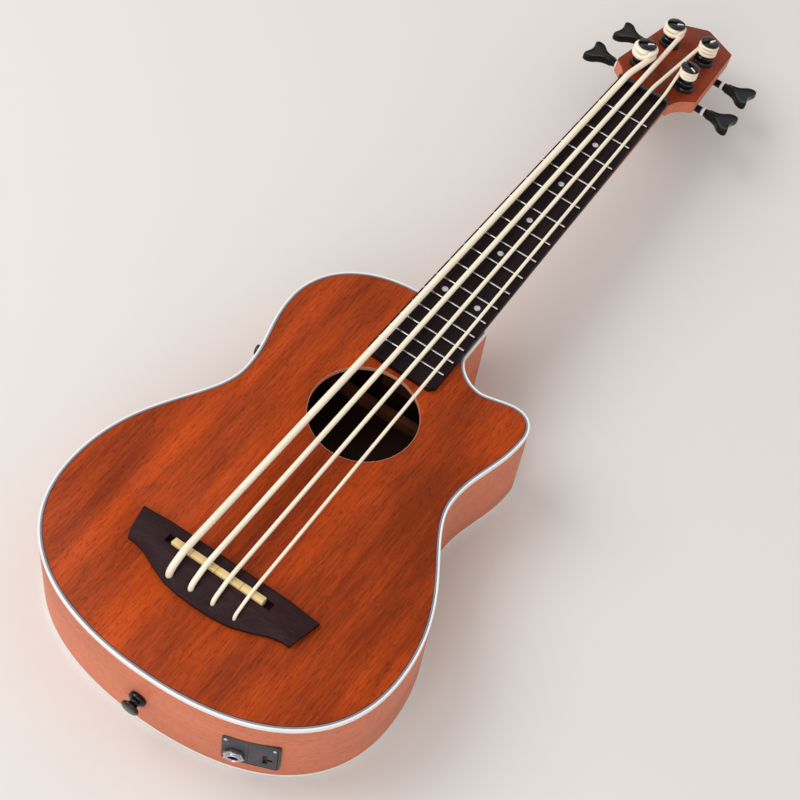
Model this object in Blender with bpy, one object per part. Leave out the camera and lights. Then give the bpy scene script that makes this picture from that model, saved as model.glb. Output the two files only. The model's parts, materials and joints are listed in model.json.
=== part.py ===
# Bass ukulele, lying on its back.
# Metres. +X is the treble side, +Y runs to the headstock, +Z is up from the flat back.
# The origin is on the back's underside, below the line where the scale length starts.

import math

import bmesh
import bpy
from mathutils import Matrix, Vector

# Gap between two pieces that touch
GAP = 0.0003

# Strings: name, diameter, place across the nut, place across the saddle, saddle crown
STRINGS = (
    ("E", 0.0049, -0.0163, -0.0250, -0.0054),
    ("A", 0.00385, -0.0055, -0.0084, -0.0049),
    ("D", 0.0030, 0.0055, 0.0084, -0.0036),
    ("G", 0.0024, 0.0163, 0.0250, -0.0025),
)
SCALE_LENGTH = 0.530
FRETS = 16

# Body
BODY_DEPTH = 0.071
PLATE = 0.0025
SIDE = 0.0022
LINING = 0.006
LINING_DEPTH = 0.010
BINDING_WIDTH = 0.0030
BINDING_DEPTH = 0.0040
BACK_BINDING_WIDTH = 0.0015
BACK_BINDING_DEPTH = 0.0035
NECK_JOINT_Y = 0.2635
NECK_WALL_X = 0.0289
HOLE_Y = 0.1544
HOLE_R = 0.0381
BRACE_Y = 0.2025
BRACE_HALF = 0.080
BRACE_WIDTH = 0.010
BRACE_HEIGHT = 0.011

# Nodes of the body's outline, from the tail round by the treble side: place, direction
# of travel in degrees, handle before the node, handle after it, steps to the next node
BODY_NODES = (
    (0.0, -0.0812, 0, 0.0727, 0.0727, 9),
    (0.1292, 0.0117, 90, 0.0656, 0.0640, 8),
    (0.0848, 0.1359, 90, 0.0337, 0.0265, 5),
    (0.0967, 0.2045, 90, 0.0280, 0.0104, 4),
    (0.0793, 0.2234, 180, 0.0113, 0.0084, 4),
    (0.0531, 0.2181, 180, 0.0059, 0.0112, 5),
    (NECK_WALL_X, 0.2378, 90, 0.0092, 0.001, 1),
    (NECK_WALL_X, NECK_JOINT_Y, 180, 0.001, 0.001, 1),
    (0.0, NECK_JOINT_Y, 180, 0.001, 0.001, 1),
    (-NECK_WALL_X, NECK_JOINT_Y, 183, 0.001, 0.0421, 7),
    (-0.0962, 0.2045, 270, 0.0319, 0.0280, 5),
    (-0.0848, 0.1359, 270, 0.0265, 0.0337, 8),
    (-0.1292, 0.0117, 270, 0.0640, 0.0656, 9),
)

# Neck, fretboard and headstock
BOARD_TOP = 0.0760
BOARD_BOTTOM = BODY_DEPTH + GAP
BOARD_END_Y = 0.1953
BOARD_CORNER = 0.004
NUT_HALF = 0.0218
TWELFTH_HALF = 0.02675
NUT_LENGTH = 0.0057
NUT_Y = SCALE_LENGTH + GAP
NUT_TOP = 0.0797
FRET_CROWN_W = 0.0024
FRET_CROWN_H = 0.0008
FRET_TANG_W = 0.0006
FRET_TANG_H = 0.0016
FRET_SLOT_W = 0.0012
FRET_SLOT_H = 0.0020
HEAD_TILT = math.radians(11.8)
HEAD_PIVOT = Vector((0.0, 0.536, 0.0720))
HEAD_THICKNESS = 0.0113
VENEER = 0.0010
HEEL_BOTTOM_Z = 0.006
HEEL_END_Y = 0.345

# Bridge and saddle
BRIDGE_TOP = 0.0790
BRIDGE_FRONT_Y = 0.0092
BRIDGE_CREASE_Y = -0.0100
SADDLE_TOP = 0.0817
SADDLE_FLOOR = 0.0745
SADDLE_FRONT_Y = 0.0007
SADDLE_BACK_Y = -0.0047
STRING_HOLE_Y = -0.0202
STRING_BEND_Z = 0.0761
STRING_AT_NUT_Z = 0.0778
STRING_AT_SADDLE_Z = SADDLE_TOP + GAP

# Tuners: places on the headstock's face, across and along it
LOWER_TUNER = (0.0195, 0.0310)
UPPER_TUNER = (0.0155, 0.0770)
POST_R = 0.0050
POST_SHAFT_R = 0.0042
POST_CAP_R = 0.0075
POST_TOP = 0.0200
POST_CAP = 0.0020
POST_SLOT = 0.0032
BUSH_R = 0.0085
BUSH_TOP = 0.0030
HEAD_HOLE_R = 0.0066
PLATE_TOP = -(HEAD_THICKNESS + GAP)
TUNER_PLATE = 0.0013
GEAR_LIFT = -0.0170
GEAR_TEETH = 20
GEAR_MODULE = 0.0007
GEAR_R = GEAR_TEETH * GEAR_MODULE / 2
GEAR_FACE = 0.0036
WORM_R = 0.0030
WORM_LEAD = math.pi * GEAR_MODULE
WORM_OFFSET = GEAR_R + WORM_R
WORM_TURNS = 3
WORM_START = math.pi * (WORM_TURNS - 0.5)
EAR_X = 0.0080
EAR = 0.0015
WINDINGS = {"E": 1.15, "A": 1.40, "D": 1.65, "G": 2.15}
WINDING_TOP = POST_TOP - POST_CAP - GAP
WINDING_GAP = 0.00055

# Output housing on the tail's treble side: two plan corners of its outer face
OUTPUT_A = Vector((0.0591, -0.0725, 0.0))
OUTPUT_B = Vector((0.0908, -0.0593, 0.0))
OUTPUT_LOW = 0.0145
OUTPUT_HIGH = 0.0470
OUTPUT_WIDTH = 0.0370
OUTPUT_PROUD = 0.0030
JACK_U = 0.0085
JACK_Z = 0.0270
DOOR_U = (0.0168, 0.0352)
DOOR_Z = (0.01635, 0.04515)
BATTERY = (0.0168, 0.0478, 0.0256)
TRAY_WALL = 0.0010
TRAY_LENGTH = 0.0535
DOOR = 0.0025

# Preamp on the bass side and strap button at the tail
PREAMP_Y = 0.1720
KNOB_Z = (0.0400, 0.0240)
KNOB_R = 0.0045
KNOB_H = 0.0072
STRAP_Z = 0.035

WOOD_TOP = ("top mahogany", (0.32, 0.085, 0.035), 0.45, 0.0)
WOOD_SIDE = ("side mahogany", (0.50, 0.20, 0.11), 0.45, 0.0)
SPRUCE = ("inner spruce", (0.62, 0.45, 0.27), 0.8, 0.0)
ROSEWOOD = ("rosewood", (0.035, 0.018, 0.018), 0.55, 0.0)
VENEER_WOOD = ("face veneer", (0.22, 0.035, 0.012), 0.4, 0.0)
WHITE = ("white binding", (0.85, 0.84, 0.80), 0.35, 0.0)
BLACK = ("black composite", (0.02, 0.02, 0.022), 0.4, 0.0)
BONE = ("bone", (0.80, 0.62, 0.33), 0.4, 0.0)
NICKEL = ("nickel silver", (0.72, 0.70, 0.66), 0.25, 1.0)
BLACK_METAL = ("black metal", (0.03, 0.03, 0.035), 0.25, 1.0)
CHROME = ("chrome", (0.80, 0.80, 0.82), 0.12, 1.0)
PLASTIC = ("grey plastic", (0.10, 0.10, 0.115), 0.5, 0.0)
RUBBER = ("string rubber", (0.88, 0.84, 0.72), 0.5, 0.0)
BATTERY_SKIN = ("battery jacket", (0.25, 0.26, 0.28), 0.35, 0.6)

HEAD = Matrix.Translation(HEAD_PIVOT) @ Matrix.Rotation(-HEAD_TILT, 4, "X")


def clear_scene():
    for obj in list(bpy.data.objects):
        bpy.data.objects.remove(obj)


def material(look):
    name, colour, roughness, metallic = look
    found = bpy.data.materials.get(name)
    if found:
        return found
    made = bpy.data.materials.new(name)
    made.use_nodes = True
    shader = made.node_tree.nodes["Principled BSDF"]
    shader.inputs["Base Color"].default_value = (*colour, 1.0)
    shader.inputs["Roughness"].default_value = roughness
    shader.inputs["Metallic"].default_value = metallic
    return made


def add_object(name, mesh, look=None, place=None, parent=None):
    obj = bpy.data.objects.new(name, mesh)
    bpy.context.scene.collection.objects.link(obj)
    if look:
        mesh.materials.append(material(look))
    if parent:
        obj.parent = parent
    if place:
        obj.matrix_basis = place
    return obj


def mesh_from(name, bm, smooth=None):
    """Turn a bmesh into a mesh with its faces pointing out."""
    bmesh.ops.remove_doubles(bm, verts=bm.verts, dist=1e-7)
    bmesh.ops.recalc_face_normals(bm, faces=bm.faces)
    mesh = bpy.data.meshes.new(name)
    bm.to_mesh(mesh)
    bm.free()
    if smooth:
        mesh.shade_smooth()
        mesh.set_sharp_from_angle(angle=math.radians(smooth))
    return mesh


def cutter(name, mesh, place=None, parent=None):
    obj = add_object(name, mesh, None, place, parent)
    obj.hide_render = True
    obj.display_type = "WIRE"
    return obj


def boolean(obj, other, operation="DIFFERENCE"):
    modifier = obj.modifiers.new(other.name, "BOOLEAN")
    modifier.operation = operation
    modifier.solver = "EXACT"
    modifier.object = other


def loft(rings, closed=False):
    """Skin rings of points that all have the same count. Open lofts get end caps."""
    bm = bmesh.new()
    rows = [[bm.verts.new(point) for point in ring] for ring in rings]
    pairs = list(zip(rows, rows[1:]))
    if closed:
        pairs.append((rows[-1], rows[0]))
    for low, high in pairs:
        for k in range(len(low)):
            j = (k + 1) % len(low)
            bm.faces.new((low[k], low[j], high[j], high[k]))
    if not closed:
        bm.faces.new(rows[0][::-1])
        bm.faces.new(rows[-1])
    return bm


def prism(outline, low, high):
    """Extrude a plan outline from one height to another."""
    return loft([[(x, y, low) for x, y in outline], [(x, y, high) for x, y in outline]])


def box(low, high):
    outline = ((low[0], low[1]), (high[0], low[1]), (high[0], high[1]), (low[0], high[1]))
    return prism(outline, low[2], high[2])


def turned(profile, steps):
    """Turn a profile of radius and height pairs about Z; a radius of zero closes it."""
    bm = bmesh.new()
    verts = [bm.verts.new((r, 0, z)) for r, z in profile]
    edges = [bm.edges.new(pair) for pair in zip(verts, verts[1:])]
    if profile[0][0] > 0 or profile[-1][0] > 0:
        edges.append(bm.edges.new((verts[-1], verts[0])))
    bmesh.ops.spin(
        bm, geom=verts + edges, cent=(0, 0, 0), axis=(0, 0, 1), angle=2 * math.pi, steps=steps
    )
    return bm


def rod(radius, low, high, steps=24):
    return turned(((0, low), (radius, low), (radius, high), (0, high)), steps)


def bezier(start, first, second, end, steps):
    """Points along a cubic curve, without its end point."""
    points = []
    for k in range(steps):
        t = k / steps
        s = 1 - t
        points.append(
            s ** 3 * start + 3 * s * s * t * first + 3 * s * t * t * second + t ** 3 * end
        )
    return points


def direction(degrees):
    angle = math.radians(degrees)
    return Vector((math.cos(angle), math.sin(angle)))


def outline_through(nodes):
    """Closed outline through nodes of place, direction, handles and step count."""
    points = []
    for node, after in zip(nodes, nodes[1:] + nodes[:1]):
        start = Vector(node[:2])
        end = Vector(after[:2])
        if node[5] == 1:
            points.append(start)
            continue
        first = start + direction(node[2]) * node[4]
        second = end - direction(after[2]) * after[3]
        points += bezier(start, first, second, end, node[5])
    return points


def inset(outline, depth):
    """Move a closed, anticlockwise outline inwards, with mitred corners."""
    moved = []
    count = len(outline)
    for k in range(count):
        before = (outline[k] - outline[k - 1]).normalized()
        after = (outline[(k + 1) % count] - outline[k]).normalized()
        inward = Vector((-before.y - after.y, before.x + after.x)).normalized()
        reach = depth / max(0.3, inward.dot(Vector((-before.y, before.x))))
        moved.append(outline[k] + inward * reach)
    return moved


def rounded_box_outline(width, height, radius, steps=4):
    outline = []
    corners = ((1, 1, 0), (-1, 1, 90), (-1, -1, 180), (1, -1, 270))
    for side_x, side_y, start in corners:
        centre = Vector((side_x * (width / 2 - radius), side_y * (height / 2 - radius)))
        for k in range(steps + 1):
            outline.append(centre + direction(start + 90 * k / steps) * radius)
    return outline


BODY = outline_through(BODY_NODES)


NECK_END = BODY.index(Vector((0.0, NECK_JOINT_Y)))


def body_ring(profile):
    """Sweep a closed profile of inset and height pairs round the body."""
    rings = []
    for depth, height in profile:
        rings.append([(point.x, point.y, height) for point in inset(BODY, depth)])
    return loft(rings, closed=True)


def body_half(profile, side):
    """Sweep the profile along the treble or bass half, from the tail to the neck."""
    outlines = [inset(BODY, depth) for depth, _ in profile]
    count = len(BODY)
    if side > 0:
        places = list(range(NECK_END + 1))
    else:
        places = [0] + list(range(count - 1, NECK_END - 1, -1))
    rings = []
    for k in places:
        at_seam = k in (0, NECK_END)
        ring = []
        for outline, (_, height) in zip(outlines, profile):
            x = side * GAP / 2 if at_seam else outline[k].x
            ring.append((x, outline[k].y, height))
        rings.append(ring)
    return loft(rings)


def make_plates():
    top_edge = inset(BODY, BINDING_WIDTH + GAP)
    top_mesh = mesh_from("top_plate", prism(top_edge, BODY_DEPTH - PLATE, BODY_DEPTH), 40)
    top = add_object("top_plate", top_mesh, WOOD_TOP)
    hole_mesh = mesh_from("sound_hole", rod(HOLE_R, 0.06, 0.08, 48), 40)
    boolean(top, cutter("sound_hole", hole_mesh, Matrix.Translation((0, HOLE_Y, 0))))
    back_edge = inset(BODY, BACK_BINDING_WIDTH + GAP)
    back_mesh = mesh_from("back_plate", prism(back_edge, 0, PLATE), 40)
    add_object("back_plate", back_mesh, WOOD_SIDE)
    return top


def make_bindings():
    low = BODY_DEPTH - BINDING_DEPTH
    profile = ((0, low), (0, BODY_DEPTH), (BINDING_WIDTH, BODY_DEPTH), (BINDING_WIDTH, low))
    add_object("top_binding", mesh_from("top_binding", body_ring(profile), 40), WHITE)
    width = BACK_BINDING_WIDTH
    profile = ((0, 0), (0, BACK_BINDING_DEPTH), (width, BACK_BINDING_DEPTH), (width, 0))
    add_object("back_binding", mesh_from("back_binding", body_ring(profile), 40), WHITE)


def make_sides():
    """Two bent sides that meet at the tail and the neck, lined inside both edges."""
    low = BACK_BINDING_DEPTH + GAP
    high = BODY_DEPTH - BINDING_DEPTH - GAP
    shelf = BODY_DEPTH - PLATE - GAP
    floor = PLATE + GAP
    inner = SIDE + LINING
    half_lining = LINING_DEPTH / 2
    profile = (
        (0, low),
        (0, high),
        (BINDING_WIDTH + GAP, high),
        (BINDING_WIDTH + GAP, shelf),
        (inner, shelf),
        (inner, shelf - half_lining),
        (SIDE, shelf - LINING_DEPTH),
        (SIDE, floor + LINING_DEPTH),
        (inner, floor + half_lining),
        (inner, floor),
        (BACK_BINDING_WIDTH + GAP, floor),
        (BACK_BINDING_WIDTH + GAP, low),
    )
    sides = []
    for name, side in (("body_side_bass", -1), ("body_side_treble", 1)):
        mesh = mesh_from(name, body_half(profile, side), 40)
        sides.append(add_object(name, mesh, WOOD_SIDE))
    return sides


def make_blocks():
    low = PLATE + GAP
    high = BODY_DEPTH - PLATE - GAP
    neck_end = NECK_JOINT_Y - SIDE - LINING - GAP
    wall = NECK_WALL_X - SIDE - LINING - GAP
    neck_block = box((-0.026, neck_end - 0.030, low), (wall, neck_end - 0.0005, high))
    add_object("neck_block", mesh_from("neck_block", neck_block), SPRUCE)
    edge = [point for point in inset(BODY, SIDE + LINING + GAP) if point.y < 0]
    edge = sorted((point for point in edge if abs(point.x) < 0.034), key=lambda point: point.x)
    edge += [Vector((edge[-1].x, -0.052)), Vector((edge[0].x, -0.052))]
    tail_block = mesh_from("tail_block", prism(edge, low, high), 40)
    add_object("tail_block", tail_block, SPRUCE)


def make_back_brace():
    """Cross brace with scooped ends, standing on the back."""
    floor = PLATE + GAP
    profile = []
    for x, share in ((-1, 0.25), (-0.86, 0.35), (-0.6, 1), (0.6, 1), (0.86, 0.35), (1, 0.25)):
        profile.append((x * BRACE_HALF, floor + share * BRACE_HEIGHT))
    profile += [(BRACE_HALF, floor), (-BRACE_HALF, floor)]
    rings = []
    for side in (-0.5, 0.5):
        rings.append([(x, BRACE_Y + side * BRACE_WIDTH, z) for x, z in profile])
    add_object("back_brace", mesh_from("back_brace", loft(rings)), SPRUCE)


def neck_half_width(y):
    """Half width of the fretboard, which tapers in a straight line."""
    return NUT_HALF + (SCALE_LENGTH - y) * (TWELFTH_HALF - NUT_HALF) / (SCALE_LENGTH / 2)


def neck_section(y, top, depth, power):
    """One cross-section of the neck, flat on top and rounded below."""
    half = neck_half_width(min(y, SCALE_LENGTH))
    ring = []
    for k in range(17):
        angle = math.pi * k / 16
        across = math.copysign(abs(math.cos(angle)) ** power, math.cos(angle))
        height = top - depth * math.sin(angle) ** power
        ring.append((half * across, y, max(height, HEEL_BOTTOM_Z)))
    return ring


def neck_depth(y):
    """Depth of the neck's wood: shallow along the neck, deep in the heel."""
    along = 0.0205 - 0.0025 * (y - 0.300) / 0.236
    if y > HEEL_END_Y:
        return along
    share = (HEEL_END_Y - y) / (HEEL_END_Y - NECK_JOINT_Y)
    return along + (0.080 - along) * share ** 2.2


def headstock_outline():
    """Plan of the headstock from the nut, across and along its face."""
    right = [Vector((0.0222, 0.0008))]
    right += bezier(
        Vector((0.0223, 0.0022)),
        Vector((0.0243, 0.0135)),
        Vector((0.0290, 0.0165)),
        Vector((0.0356, 0.0225)),
        5,
    )
    right += [Vector((0.0355, 0.0224)), Vector((0.0357, 0.0236)), Vector((0.0290, 0.1062))]
    right += [Vector((0.0285, 0.1074)), Vector((0.0012, 0.1228))]
    left = [Vector((-point.x, point.y)) for point in reversed(right)]
    return right + left


def tuner_places():
    """Posts as string name, place across the face and place along it."""
    low_x, low_s = LOWER_TUNER
    high_x, high_s = UPPER_TUNER
    return (
        ("E", -low_x, low_s),
        ("A", -high_x, high_s),
        ("D", high_x, high_s),
        ("G", low_x, low_s),
    )


def make_neck(head):
    stations = (0.2638, 0.268, 0.274, 0.281, 0.289, 0.298, 0.309, 0.323, 0.345, 0.40, 0.47, 0.520)
    sections = [neck_section(y, BODY_DEPTH, neck_depth(y), 0.8) for y in stations]
    sections.append(neck_section(0.5355, BODY_DEPTH, 0.0178, 0.8))
    drop = math.tan(HEAD_TILT)
    for y, depth in ((0.5400, 0.0165), (0.5460, 0.0138), (0.5530, 0.0094)):
        top = HEAD_PIVOT.z - VENEER - 0.0006 - drop * (y - HEAD_PIVOT.y)
        sections.append(neck_section(y, top, depth, 0.8))
    neck = add_object("neck", mesh_from("neck", loft(sections), 40), WOOD_SIDE)
    slab = prism(headstock_outline(), -HEAD_THICKNESS, -VENEER - GAP)
    boolean(neck, cutter("headstock_slab", mesh_from("headstock_slab", slab), None, head), "UNION")
    face = prism(headstock_outline(), -VENEER, 0)
    veneer = add_object(
        "headstock_veneer", mesh_from("headstock_veneer", face), VENEER_WOOD, None, head
    )
    hole = mesh_from("post_hole", rod(HEAD_HOLE_R, -0.025, 0.010, 20))
    for name, across, along in tuner_places():
        place = Matrix.Translation((across, along, 0))
        drill = cutter("post_hole_" + name, hole, place, head)
        boolean(neck, drill)
        boolean(veneer, drill)


def fret_y(number):
    return SCALE_LENGTH / 2 ** (number / 12)


def make_fretboard():
    end_half = neck_half_width(BOARD_END_Y)
    corner_half = neck_half_width(BOARD_END_Y + BOARD_CORNER)
    right = ((end_half - BOARD_CORNER, BOARD_END_Y), (corner_half, BOARD_END_Y + BOARD_CORNER))
    right += ((NUT_HALF, SCALE_LENGTH),)
    outline = right + tuple((-x, y) for x, y in reversed(right))
    board = add_object(
        "fretboard", mesh_from("fretboard", prism(outline, BOARD_BOTTOM, BOARD_TOP)), ROSEWOOD
    )
    slots = bmesh.new()
    for number in range(1, FRETS + 1):
        slot = box(
            (-0.035, fret_y(number) - FRET_SLOT_W / 2, BOARD_TOP - FRET_SLOT_H),
            (0.035, fret_y(number) + FRET_SLOT_W / 2, BOARD_TOP + 0.002),
        )
        part = bpy.data.meshes.new("slot")
        slot.to_mesh(part)
        slot.free()
        slots.from_mesh(part)
    boolean(board, cutter("fret_slots", mesh_from("fret_slots", slots)))


def make_frets():
    """Frets with a rounded crown and a tang that stands in its slot."""
    floor = BOARD_TOP + GAP
    for number in range(1, FRETS + 1):
        y = fret_y(number)
        profile = []
        for k in range(6):
            angle = math.pi * k / 5
            crown = FRET_CROWN_W / 2 * math.cos(angle)
            profile.append((crown, floor + FRET_CROWN_H * math.sin(angle)))
        profile += [
            (-FRET_TANG_W / 2, floor),
            (-FRET_TANG_W / 2, floor - FRET_TANG_H),
            (FRET_TANG_W / 2, floor - FRET_TANG_H),
            (FRET_TANG_W / 2, floor),
        ]
        half = neck_half_width(y)
        rings = [[(x, y + across, z) for across, z in profile] for x in (-half, half)]
        name = "fret_%02d" % number
        add_object(name, mesh_from(name, loft(rings), 40), NICKEL)


def make_nut():
    """Nut with a sloped back edge and one slot for each string."""
    low = BODY_DEPTH + GAP
    profile = (
        (NUT_Y, low),
        (NUT_Y, NUT_TOP),
        (NUT_Y + 0.0022, NUT_TOP),
        (NUT_Y + NUT_LENGTH - 0.0007, NUT_TOP - 0.0018),
        (NUT_Y + NUT_LENGTH, NUT_TOP - 0.0030),
        (NUT_Y + NUT_LENGTH, low),
    )
    rings = [[(x, y, z) for y, z in profile] for x in (-NUT_HALF, NUT_HALF)]
    nut = add_object("nut", mesh_from("nut", loft(rings)), BLACK)
    for name, diameter, at_nut, _, _ in STRINGS:
        radius = diameter / 2 + GAP
        outline = [(math.cos(math.radians(180 + 30 * k)) * radius,
                    math.sin(math.radians(180 + 30 * k)) * radius) for k in range(7)]
        outline += [(radius, 0.006), (-radius, 0.006)]
        height = STRING_AT_NUT_Z + diameter / 2
        rings = []
        for y in (NUT_Y - 0.004, NUT_Y + NUT_LENGTH + 0.004):
            rings.append([(at_nut + x, y, height + z) for x, z in outline])
        boolean(nut, cutter("nut_slot_" + name, mesh_from("nut_slot_" + name, loft(rings))))


def bridge_station(x, front_x, y_back, top, back_top):
    """Cross-section of the bridge: front edge, flat top, crease and rear slope."""
    low = BODY_DEPTH + GAP
    crease = max(BRIDGE_CREASE_Y, y_back + 0.002)
    return [
        (front_x, BRIDGE_FRONT_Y, low),
        (front_x, BRIDGE_FRONT_Y, top - 0.0015),
        (x + (front_x - x) * 0.9, BRIDGE_FRONT_Y - 0.0018, top),
        (x + (front_x - x) * 0.3, crease, top),
        (x, y_back, back_top),
        (x, y_back, low),
    ]


def make_bridge():
    right = (
        (0.0622, 0.0684, -0.0145, 0.0752, 0.0738),
        (0.0570, 0.0600, -0.0145, 0.0762, 0.0740),
        (0.0500, 0.0500, -0.0160, 0.0784, 0.0738),
        (0.0440, 0.0440, -0.0182, BRIDGE_TOP, 0.0736),
        (0.0380, 0.0380, -0.0210, BRIDGE_TOP, 0.0735),
        (0.0260, 0.0260, -0.0255, BRIDGE_TOP, 0.0735),
        (0.0130, 0.0130, -0.0273, BRIDGE_TOP, 0.0735),
    )
    left = tuple((-row[0], -row[1], *row[2:]) for row in right)
    rows = left + ((0.0, 0.0, -0.0278, BRIDGE_TOP, 0.0735),) + tuple(reversed(right))
    body = loft([bridge_station(*row) for row in rows])
    bridge = add_object("bridge", mesh_from("bridge", body, 25), ROSEWOOD)
    slot = box(
        (-0.041, SADDLE_BACK_Y - GAP, SADDLE_FLOOR - GAP), (0.040, SADDLE_FRONT_Y + GAP, 0.09)
    )
    boolean(bridge, cutter("saddle_slot", mesh_from("saddle_slot", slot)))
    return bridge


def make_saddle():
    """Saddle whose crown steps back for the thicker strings."""
    edges = (-0.036, -0.0167, 0.0, 0.0167, 0.034)
    rings = []
    for k, string in enumerate(STRINGS):
        crown = string[4]
        for x in (edges[k] + 0.0001, edges[k + 1] - 0.0001):
            rings.append(saddle_station(x, crown))
    add_object("saddle", mesh_from("saddle", loft(rings)), BONE)


def saddle_station(x, crown):
    crown = min(max(crown, SADDLE_BACK_Y + 0.0004), SADDLE_FRONT_Y - 0.0004)
    shoulder = 0.0011
    front = SADDLE_TOP - shoulder * (SADDLE_FRONT_Y - crown) / 0.004
    back = SADDLE_TOP - shoulder * (crown - SADDLE_BACK_Y) / 0.004
    return [
        (x, SADDLE_BACK_Y, SADDLE_FLOOR),
        (x, SADDLE_FRONT_Y, SADDLE_FLOOR),
        (x, SADDLE_FRONT_Y, front - 0.0002),
        (x, crown + 0.0003, SADDLE_TOP),
        (x, crown - 0.0003, SADDLE_TOP),
        (x, SADDLE_BACK_Y, back - 0.0002),
    ]


def drill_string_holes(top, bridge):
    """Bridge plate under the top, and the string holes through all three pieces."""
    high = BODY_DEPTH - PLATE - GAP
    outline = rounded_box_outline(0.100, 0.046, 0.008)
    outline = [Vector((point.x, point.y - 0.010)) for point in outline]
    plate_mesh = mesh_from("bridge_plate", prism(outline, high - 0.0025, high))
    plate = add_object("bridge_plate", plate_mesh, SPRUCE)
    for name, diameter, _, at_saddle, _ in STRINGS:
        hole = mesh_from("string_hole_" + name, rod(diameter / 2 + 0.0006, 0.05, 0.10, 12))
        place = Matrix.Translation((at_saddle, STRING_HOLE_Y, 0))
        drill = cutter("string_hole_" + name, hole, place)
        for piece in (top, bridge, plate):
            boolean(piece, drill)


def rounded(points, radius, steps=4):
    """Route through corner points, each interior corner rounded by a short curve."""
    route = [points[0]]
    for before, corner, after in zip(points, points[1:], points[2:]):
        into = (corner - before).normalized()
        out = (after - corner).normalized()
        reach = min(radius, (corner - before).length * 0.45, (after - corner).length * 0.45)
        start = corner - into * reach
        end = corner + out * reach
        for k in range(steps + 1):
            t = k / steps
            route.append((1 - t) ** 2 * start + 2 * t * (1 - t) * corner + t * t * end)
    route.append(points[-1])
    return route


def winding(post_x, post_s, radius, start, turns, way, low, pitch):
    """Turns round a post, 24 points to each, in the headstock's own directions."""
    points = []
    for k in range(round(24 * turns) + 1):
        angle = start + way * 2 * math.pi * k / 24
        x = post_x + radius * math.cos(angle)
        s = post_s + radius * math.sin(angle)
        points.append(Vector((x, s, low + pitch * k / 24)))
    last = points[-1] - points[-2]
    points.append(points[-1] + last.normalized() * pitch)
    return points


def least_gap(points, diameter):
    """Least clear distance between turns that lie at least half a turn apart."""
    least = 1.0
    for k, point in enumerate(points):
        for other in points[k + 13:]:
            least = min(least, (point - other).length)
    return least - diameter


def tube(name, points, diameter, look, radii=None):
    curve = bpy.data.curves.new(name, "CURVE")
    curve.dimensions = "3D"
    curve.twist_mode = "MINIMUM"
    curve.bevel_depth = diameter / 2
    curve.bevel_resolution = 1
    curve.use_fill_caps = True
    spline = curve.splines.new("POLY")
    spline.points.add(len(points) - 1)
    for k, point in enumerate(points):
        spline.points[k].co = (*point, 1.0)
        spline.points[k].radius = radii[k] if radii else 1.0
    spline.use_smooth = True
    return add_object(name, curve, look)


def string_turns(string, post):
    """The turns on the post, entered on the side that faces the headstock's middle."""
    name, diameter, at_nut, _, _ = string
    _, post_x, post_s = post
    radius = POST_R + GAP + diameter / 2 + 0.0001
    to_nut = Vector((at_nut - post_x, -post_s))
    way = 1 if post_x < 0 else -1
    base = math.atan2(to_nut.y, to_nut.x)
    start = base + way * math.acos(radius / to_nut.length)
    pitch = diameter + WINDING_GAP
    low = WINDING_TOP - diameter / 2 - WINDINGS[name] * pitch - GAP
    return winding(post_x, post_s, radius, start, WINDINGS[name], way, low, pitch)


def make_strings():
    """Each string from its bead under the bridge plate to its winding on the post."""
    for number, (string, post) in enumerate(zip(STRINGS, tuner_places()), 1):
        name, diameter, at_nut, at_saddle, crown = string
        half = diameter / 2
        turns = string_turns(string, post)
        print("string", name, "least gap, mm:", round(least_gap(turns, diameter) * 1000, 3))
        under = BODY_DEPTH - PLATE - 0.0028 - GAP
        bead = [
            Vector((at_saddle, STRING_HOLE_Y, under - 0.0072)),
            Vector((at_saddle, STRING_HOLE_Y, under - 0.0062)),
            Vector((at_saddle, STRING_HOLE_Y, under - 0.0016)),
            Vector((at_saddle, STRING_HOLE_Y, under - 0.0004)),
            Vector((at_saddle, STRING_HOLE_Y, under - 0.0003)),
        ]
        wide = 1 + 0.0018 / half
        radii = [wide * 0.7, wide, wide, wide * 0.7, 1.0]
        corners = [
            bead[-1],
            Vector((at_saddle, STRING_HOLE_Y, STRING_BEND_Z + half * 1.1)),
            Vector((at_saddle, crown, STRING_AT_SADDLE_Z + half)),
            Vector((at_nut, NUT_Y + NUT_LENGTH + 0.0010, STRING_AT_NUT_Z + half)),
            HEAD @ turns[0],
        ]
        route = rounded(corners, half + 0.0012)
        points = bead + route[1:-1] + [HEAD @ point for point in turns]
        radii += [1.0] * (len(points) - len(radii))
        tube("string_%d_%s" % (number, name), points, diameter, RUBBER, radii)


def gear_outline():
    """Plan of the toothed wheel, with a tooth gap at its +Y side."""
    outline = []
    root = GEAR_R - 0.0011
    tip = GEAR_R + 0.00065
    for tooth in range(GEAR_TEETH):
        centre = 90 + (tooth + 0.5) * 360 / GEAR_TEETH
        for share, radius in ((-0.29, root), (-0.125, tip), (0.125, tip), (0.29, root)):
            outline.append(direction(centre + share * 360 / GEAR_TEETH) * radius)
    return outline


def gear_wheel():
    """Toothed wheel whose teeth lean with the worm's thread."""
    lean = WORM_LEAD / (2 * math.pi * WORM_R) * GEAR_FACE / 2 / GEAR_R
    rings = []
    for side in (-1, 1):
        turn = Matrix.Rotation(side * lean, 2)
        ring = [turn @ point for point in gear_outline()]
        rings.append([(p.x, p.y, GEAR_LIFT + side * GEAR_FACE / 2) for p in ring])
    return loft(rings)


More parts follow.
